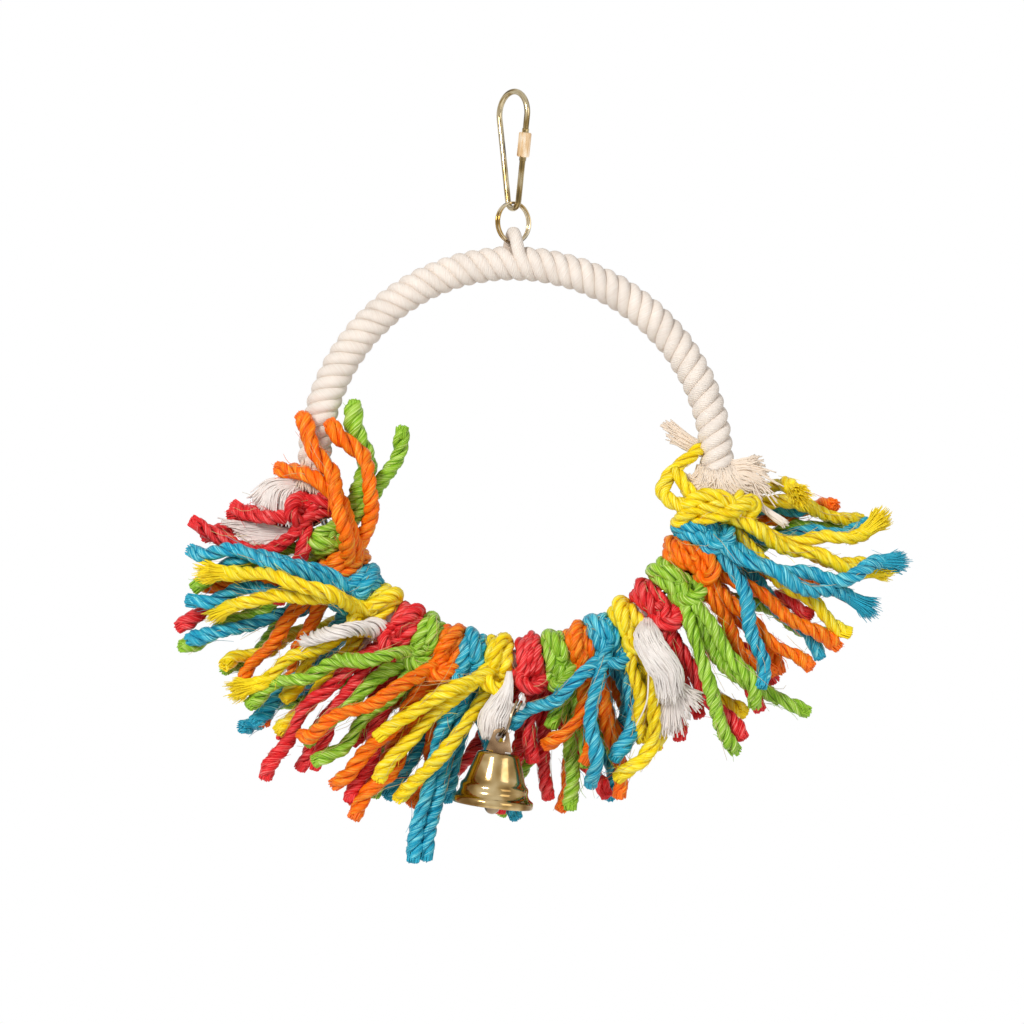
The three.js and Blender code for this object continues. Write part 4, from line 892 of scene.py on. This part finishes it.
for index, (yarn, _, _, _) in enumerate(TIES):
    if yarn == "cotton":
        continue
    node = "tie_%02d_%s" % (index + 1, yarn)
    own = [end for end in ends if end["tie"] == index]
    free = sorted(own, key=lambda end: -end["reach"])[:2]
    hitch, fibres = TubeBatch(), TubeBatch()
    for end in own:
        leave = math.radians(UPPER_SEAT if end["raised"] else LOWER_SEAT)
        wrap = wrap_round(index, end["side"], HITCH_LANE * end["share"], leave, end["raised"], end["inward"])
        known_as = (index, end["lean"])
        girth = GIRTHS.get(known_as, 1.0)
        wander = BY_BELL_WANDER if index in BY_THE_BELL else WANDER
        course = wrap + eased(end["route"])
        line, run, plies = plies_of(course, PLY_STEP, draw.uniform(0, 2 * math.pi), wander, girth)
        leaves = int(np.argmin(np.linalg.norm(line - np.array(end["route"][0]), axis=1)))
        add_plies(hitch, plies, 0, leaves + 2)
        if any(end is one for one in free):
            cord = TubeBatch()
            add_plies(cord, plies, leaves, len(line))
            cord_piece = cord.piece("%s_end_%d" % (node, 1 if end is free[0] else 2), [sisal[yarn]])
            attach(cord_piece, "hoop")
        else:
            add_plies(hitch, plies, leaves, len(line))
        brush(fibres, line, *(FANNED_TIP if known_as in FANNED else PLAIN_TIP))
        hairs(fibres, line[leaves:], round(END_HAIRS * girth**4), END_LONG_HAIRS)
        hairs(fibres, line[:leaves], *HITCH_HAIRS)
    for side in (-1, 1):
        lanes = [end["share"] for end in own if end["side"] == side and not end["raised"]]
        blind = [lane for lane in (-1, 1) if all(abs(lane - taken) > 0.7 for taken in lanes)]
        inward = any(end["inward"] for end in own if end["side"] == side)
        strands = [wrap_round(index, side, HITCH_LANE * lane, -0.2, False, inward) for lane in blind]
        if index == 0 and side < 0:
            strands += SLACK_LOOP
        if not inward:
            strands.append(band_over(index, side))
        for strand in strands:
            line, run, plies = plies_of(strand, PLY_STEP, draw.uniform(0, 2 * math.pi))
            add_plies(hitch, plies, 0, len(line))
            hairs(fibres, line, *BAND_HAIRS)
    hitch_piece = hitch.piece(node + "_hitch", [sisal[yarn]])
    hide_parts(node)
    fibre_piece = fibres.piece(node + "_fibres", [loose_sisal[yarn], undyed])
    for piece in (hitch_piece, fibre_piece):
        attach(piece, "hoop")

# Cotton ties: soft white yarn hitched round the wire after each five colours. Their ends are combed out into
# tufts, and the bottom one carries a loop for the bell's ring. Fans and tufts are listed by tie index.
COTTON_FANS = {
    5: [([(56, -8, -236), (60, -9, -234)], [(61, -12, -246), (68, -12, -241)],
         [(57, -11, -262), (68, -12, -260), (78, -11, -246)], 190, 0.08),
        ([(55, -18, -236)], [(54, -20, -248)], [(48, -19, -260)], 1, 0)],
    23: [([(-84, -3, -158.5), (-86, -3.5, -161.5)], [(-99.3, -4, -158.6), (-97, -6, -162), (-90, -7, -164)],
          [(-107.4, -4, -164.5), (-103, -6, -170), (-97, -7.5, -175), (-91, -8, -176.5)], 190, 0.06),
         ([(-90, -2, -178.5), (-91, -2, -182)], [(-104, -2, -176.3), (-104, -2, -181), (-101, -2, -184)],
          [(-119, -2, -174.6), (-115, -2, -178), (-109, -2, -183), (-103, -2, -187)], 170, 0.05)],
}
TUFTS = {
    5: {-1: ([(0, 3.0), (0.26, 6.0), (0.54, 6.6), (0.78, 6.8), (1, 6.0)], 420, 5, 0.7, 0)},
    11: {-1: ([(0, 1.0), (0.24, 2.3), (0.5, 5.2), (0.7, 6.3), (0.88, 5.8), (1, 4.2)], 400, 2, 0.5, 0)},
    17: {-1: ([(0, 4.2), (0.08, 4.6), (0.16, 4.2), (0.24, 3.0), (0.85, 2.9), (1, 2.6)], 60, 3, 1.0, 0.3),
         1: ([(0, 2.0), (1, 3.6)], 130, 8, 1.0, 0)},
    23: {},
}
TUFT_ROUTES = {
    5: [(54.6, -6, -215.5), (54.6, -15, -222.7), (58.5, -19, -230.1), (62.4, -18, -236), (63.6, -15, -243.2)],
    11: [(-1.6, -11, -236), (-2.4, -13.5, -242.5), (-5.6, -13, -250), (-8.2, -12.5, -255.2),
         (-9.4, -12, -262)],
}
WRAP_YARNS, WRAP_HALF, WRAP_AT, WRAP_YARN_R = 6, 1.8, 3.4, 0.9
WRAP_UNEVEN, WRAP_STRAY, LOOP_STEP = 0.3, 0.15, 0.6
LOOP_YARN_AT, LOOP_YARN_R, LOOP_LAY = 0.17 * LOOP_CORD, 0.2 * LOOP_CORD, 6
# Deep, body, light, then the crease colour as painted shade on the yarns' inner sides.
COTTON = [(214, 203, 196), (235, 227, 220), (245, 240, 235), (226, 216, 209)]
combed_cotton = yarn_material("combed_cotton", COTTON, (0.5, 0.75), 0.15, 0.95, **COMBED)
for index, shapes in TUFTS.items():
    node = "tie_%02d_cotton" % (index + 1)
    angle = tie_angles[index]
    cotton = TubeBatch()
    for lane in np.linspace(-WRAP_HALF, WRAP_HALF, WRAP_YARNS):
        reach = WRAP_AT + draw.uniform(-WRAP_UNEVEN, WRAP_UNEVEN)
        turns = []
        for t in np.linspace(0, 2 * math.pi, 13):
            place = on_hoop(angle, reach * math.cos(t), reach * math.sin(t))
            turns.append(place + along_hoop(angle) * (lane + draw.normal(0, WRAP_STRAY)))
        line, _ = smooth_line(turns, YARN_STEP)
        cotton.tube(line, WRAP_YARN_R, 10)
    for end in (end for end in ends if end["tie"] == index and end["side"] in shapes):
        profile, yarns, loose, flat, twist = shapes[end["side"]]
        tuft(cotton, TUFT_ROUTES.get(index, end["route"]), profile, yarns, loose, flat, 0, twist)
    for fan in COTTON_FANS.get(index, []):
        yarn_fan(cotton, *fan, 0)
    if index == BELL_TIE:
        line, run = smooth_line(bell_loop(), LOOP_STEP)
        _, side, other = carried_frames(line)
        for k in (0, 1):
            turn = (2 * np.pi * (run / LOOP_LAY + k / 2))[:, None]
            out = side * np.cos(turn) + other * np.sin(turn)
            cotton.tube(line + out * LOOP_YARN_AT, LOOP_YARN_R, 8, out)
    tie_piece = cotton.piece(node + "_tuft", [combed_cotton])
    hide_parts(node)
    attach(tie_piece, "hoop")

# Bell ring: a second split ring of the same make, dark plated. It passes through the cotton loop and the hole
# in the bell's hanger.
dark_plate = plated_wire("dark_bronze_plate", [(74, 62, 50), (128, 110, 88), (172, 152, 124)],
                         (0.14, 0.26), 0.02)
bell_ring_piece = split_ring("bell_ring_coils", bell_ring_at, ring_across, front, dark_plate)
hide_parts("bell_ring")
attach(bell_ring_piece, "bell_ring")

# Bell shell: thin brass sheet spun over a former, with a rounded crown, a bead two thirds down and a lip
# that is rolled into a band. It is polished, and its gloss is a little streaked from crown to lip.
BELL_WALL, TAB_HOLE = 0.8, 4.0
hole_slack = TAB_HOLE / 2 - math.hypot(coil_offset + RING_WIRE / 2, RING_WIRE / 2) - CLEAR
bell_top = bell_pivot + bell_down * (TAB_HOLE_RISE + hole_slack)
bell_right = np.array([math.cos(BELL_LEAN), 0, -math.sin(BELL_LEAN)])
bell_back = np.array([0.0, 1.0, 0.0])
BELL_OUTSIDE = [
    (0.6, 0), (6.9, 0), (7.7, -0.12), (8.3, -0.5), (8.7, -1.1), (8.95, -1.9), (9.2, -2.6), (9.8, -4.4),
    (10.5, -6.3), (11.2, -8.6), (11.9, -10.8), (12.4, -12.0), (13.0, -12.8), (13.55, -13.3), (13.8, -13.9),
    (13.95, -14.7), (13.85, -15.5), (13.9, -16.1), (14.25, -16.9), (14.8, -17.7), (15.4, -18.2),
    (15.9, -18.5), (16.3, -18.9), (16.48, -19.5), (16.5, -20.3), (16.48, -21.0), (16.35, -21.5),
    (16.0, -21.7),
]
BELL_INSIDE = [
    (15.7, -21.5), (15.6, -20.8), (15.6, -19.4), (14.9, -18.6), (14.0, -17.9), (13.1, -16.4), (13.0, -14.4),
    (12.2, -13.3), (11.3, -11.6), (10.0, -7.6), (9.0, -4.4), (8.3, -2.6), (7.6, -1.4), (6.7, -0.85),
    (0.6, -0.8),
]

def spun(batch, origin, profile, segments):
    """A shape turned about the bell's own axis."""
    turn = 2 * np.pi * np.arange(segments) / segments
    ring = bell_right * np.cos(turn)[:, None] + bell_back * np.sin(turn)[:, None]
    rings = np.array([origin + ring * r - bell_down * z for r, z in profile])
    batch.skin(rings, distance_run(np.array(profile)), way=-1)

shell = TubeBatch()
spun(shell, bell_top, BELL_OUTSIDE + BELL_INSIDE, 72)
bell_brass = plated_wire("spun_brass", [(110, 82, 44), (158, 130, 82), (194, 172, 128)], (0.1, 0.2), 0.01)
shell_piece = shell.piece("bell_spun_shell", [bell_brass])
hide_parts("bell_shell")
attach(shell_piece, "bell")

# Bell hanger: a brass strip cut to a tapering tab with a hole. Its shank goes through the crown, and its foot
# is wider below the crown to hold it.
TAB_BASE, TAB_TOP, TAB_RISE, TAB_THICK, SHANK = 10.7, 6.6, 9.6, 1.6, 5.0
FOOT_DROP, FOOT, FOOT_HOLE, FOOT_RIM, TAB_EDGE = 2.6, 8.0, 2.0, 0.9, 0.2
foot_hole_z = -BELL_WALL - FOOT_DROP
foot_top, foot_end = -BELL_WALL - CLEAR, foot_hole_z - FOOT_HOLE / 2 - FOOT_RIM
tab_cap = TAB_TOP / 3
cap_turns = np.linspace(0, math.pi, 17)
tab_round = [(TAB_TOP / 2 * math.cos(a), TAB_RISE - tab_cap + tab_cap * math.sin(a)) for a in cap_turns]
below = [(TAB_BASE / 2, CLEAR), (SHANK / 2, CLEAR), (SHANK / 2, foot_top), (FOOT / 2, foot_top),
         (SHANK / 2, foot_end)]
tab_outline = below[:1] + tab_round + [(-x, z) for x, z in below] + below[:0:-1]
cut = bpy.data.curves.new("hanger_cut", "CURVE")
cut.dimensions = "2D"
cut.fill_mode = "BOTH"
cut.extrude, cut.bevel_depth, cut.offset = TAB_THICK / 2 - TAB_EDGE, TAB_EDGE, -TAB_EDGE
cut.bevel_resolution = 2
holes = [[(r * math.cos(a), z + r * math.sin(a)) for a in np.linspace(0, 2 * math.pi, 25)[:-1]]
         for r, z in ((TAB_HOLE / 2, TAB_HOLE_RISE), (FOOT_HOLE / 2, foot_hole_z))]
for outline in [tab_outline] + holes:
    spline = cut.splines.new("POLY")
    spline.points.add(len(outline) - 1)
    spline.points.foreach_set("co", np.array([(x, y, 0, 1) for x, y in outline]).ravel())
    spline.use_cyclic_u = True
cut_shape = new_object("hanger_cut", cut)
hanger_mesh = bpy.data.meshes.new_from_object(cut_shape.evaluated_get(bpy.context.evaluated_depsgraph_get()))
bpy.data.objects.remove(cut_shape)
flat = np.empty(len(hanger_mesh.vertices) * 3)
hanger_mesh.vertices.foreach_get("co", flat)
flat = flat.reshape(-1, 3)
placed = bell_top + flat[:, :1] * bell_right - flat[:, 1:2] * bell_down - flat[:, 2:] * bell_back
hanger_mesh.vertices.foreach_set("co", (placed * MM).ravel())
hanger_mesh.update()
corner = np.empty(len(hanger_mesh.loops), np.int32)
hanger_mesh.loops.foreach_get("vertex_index", corner)
hanger_uv = np.column_stack([flat[corner, 0] / TAB_BASE, flat[corner, 1]])
hanger_mesh.uv_layers.new(name="yarn").data.foreach_set("uv", hanger_uv.ravel())
hanger_mesh.materials.clear()
tab_brass = plated_wire("strip_brass", [(110, 84, 60), (162, 132, 100), (202, 176, 144)], (0.18, 0.3), 0.02)
hanger_mesh.materials.append(tab_brass)
hanger_piece = new_object("bell_tab", hanger_mesh)
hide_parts("bell_hanger")
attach(hanger_piece, "bell")

# Clapper: a steel ball on a wire, plated like the bell's ring. The wire is bent to an eye at the top, which
# swings in the hole of the hanger's foot.
CLAPPER_WIRE, CLAPPER_EYE, BALL_D, BALL_SHOW = 1.1, 4.0, 6.4, 3.6
striker = TubeBatch()
eye_middle = bell_top - bell_down * (foot_hole_z - CLAPPER_EYE / 2)
eye_turn = np.linspace(0, 2 * np.pi, 33)[:-1, None]
eye_out = bell_back * np.cos(eye_turn) - bell_down * np.sin(eye_turn)
striker.tube(eye_middle + eye_out * CLAPPER_EYE / 2, CLAPPER_WIRE / 2, 12, eye_out, closed=True)
ball_z = -BELL_HEIGHT - BALL_SHOW + BALL_D / 2
stem = np.array([bell_top - bell_down * z for z in np.linspace(foot_hole_z - CLAPPER_EYE, ball_z, 8)])
striker.tube(stem, CLAPPER_WIRE / 2, 12, np.tile(bell_right, (8, 1)))
ball = [(BALL_D / 2 * math.sin(a), BALL_D / 2 * math.cos(a)) for a in np.linspace(0.05, math.pi - 0.05, 24)]
spun(striker, bell_top - bell_down * ball_z, ball, 32)
clapper_piece = striker.piece("clapper_ball", [dark_plate])
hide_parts("clapper")
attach(clapper_piece, "clapper")

# Studio: a pale floor well below the swing, a white surround, a large soft lamp from the upper left of the
# camera and a weaker one from the right.
FLOOR_Z, FLOOR_R, WORLD_LIGHT, FLOOR_LIFT = -0.78, 2.2, 0.42, 0.6
SWING_MIDDLE, PAPER_GRAIN, FLOOR_SIDES = (0, 0, -0.17), 40, 96

def seen_ray(tree, other_rays, seen_rays):
    """One strength for what is seen, straight, mirrored or through glass, and another for what lights."""
    rays = add_node(tree, "LightPath").outputs
    seen = 0
    for ray in ("Is Camera Ray", "Is Glossy Ray", "Is Transmission Ray"):
        seen = add_node(tree, "Math", {0: rays[ray], 1: seen}, operation="MAXIMUM").outputs[0]
    return brought_to(tree, seen, (0, 1), (other_rays, seen_rays))

floor_mesh = bpy.data.meshes.new("floor")
turns = np.linspace(0, 2 * math.pi, FLOOR_SIDES + 1)[:-1]
rim = [(FLOOR_R * math.cos(a), FLOOR_R * math.sin(a), FLOOR_Z) for a in turns]
floor_mesh.from_pydata(rim, [], [tuple(range(FLOOR_SIDES))])
floor = new_object("floor", floor_mesh)
paper, tree, shader = new_material("white_paper")
grain = add_node(tree, "TexNoise", {"Scale": PAPER_GRAIN}).outputs["Fac"]
fill_in(tree, shader, {
    "Base Color": colour_ramp(tree, grain, [(0, (246, 246, 246)), (1, (252, 252, 252))]),
    "Roughness": 0.9,
    "Emission Color": (1, 1, 1, 1),
    "Emission Strength": seen_ray(tree, 0, FLOOR_LIFT),
})
floor_mesh.materials.append(paper)

world = bpy.data.worlds.new("studio")
bpy.context.scene.world = world
world.use_nodes = True
tree = world.node_tree
fill_in(tree, tree.nodes["Background"], {"Color": (1, 1, 1, 1), "Strength": seen_ray(tree, WORLD_LIGHT, 1)})

def soft_lamp(name, place, size, power):
    """A square lamp that faces the swing."""
    data = bpy.data.lights.new(name, "AREA")
    data.size, data.energy = size, power
    lamp = new_object(name, data)
    lamp.location = place
    ahead = unit(np.array(SWING_MIDDLE) - np.array(place))
    lamp.rotation_euler = (math.acos(-ahead[2]), 0, math.atan2(-ahead[0], ahead[1]))

soft_lamp("key_lamp", (-0.75, -1.35, 0.55), 0.42, 19)
soft_lamp("fill_lamp", (1.0, -1.1, 0.15), 0.8, 5)
bpy.context.scene.view_settings.view_transform = "Standard"

# Camera: straight in front of the swing and level with its middle, far enough back to flatten the perspective
# as the photograph does.
CAMERA_BACK, VIEW_WIDTH, VIEW_X, VIEW_Z, SENSOR = 1.4, 0.4197, -0.00053, -0.17107, 36.0
camera_data = bpy.data.cameras.new("camera")
camera_data.sensor_width = SENSOR
camera_data.lens = SENSOR * CAMERA_BACK / VIEW_WIDTH
camera = new_object("camera", camera_data)
camera.location = (VIEW_X, -CAMERA_BACK, VIEW_Z)
camera.rotation_euler = (math.pi / 2, 0, 0)
bpy.context.scene.camera = camera
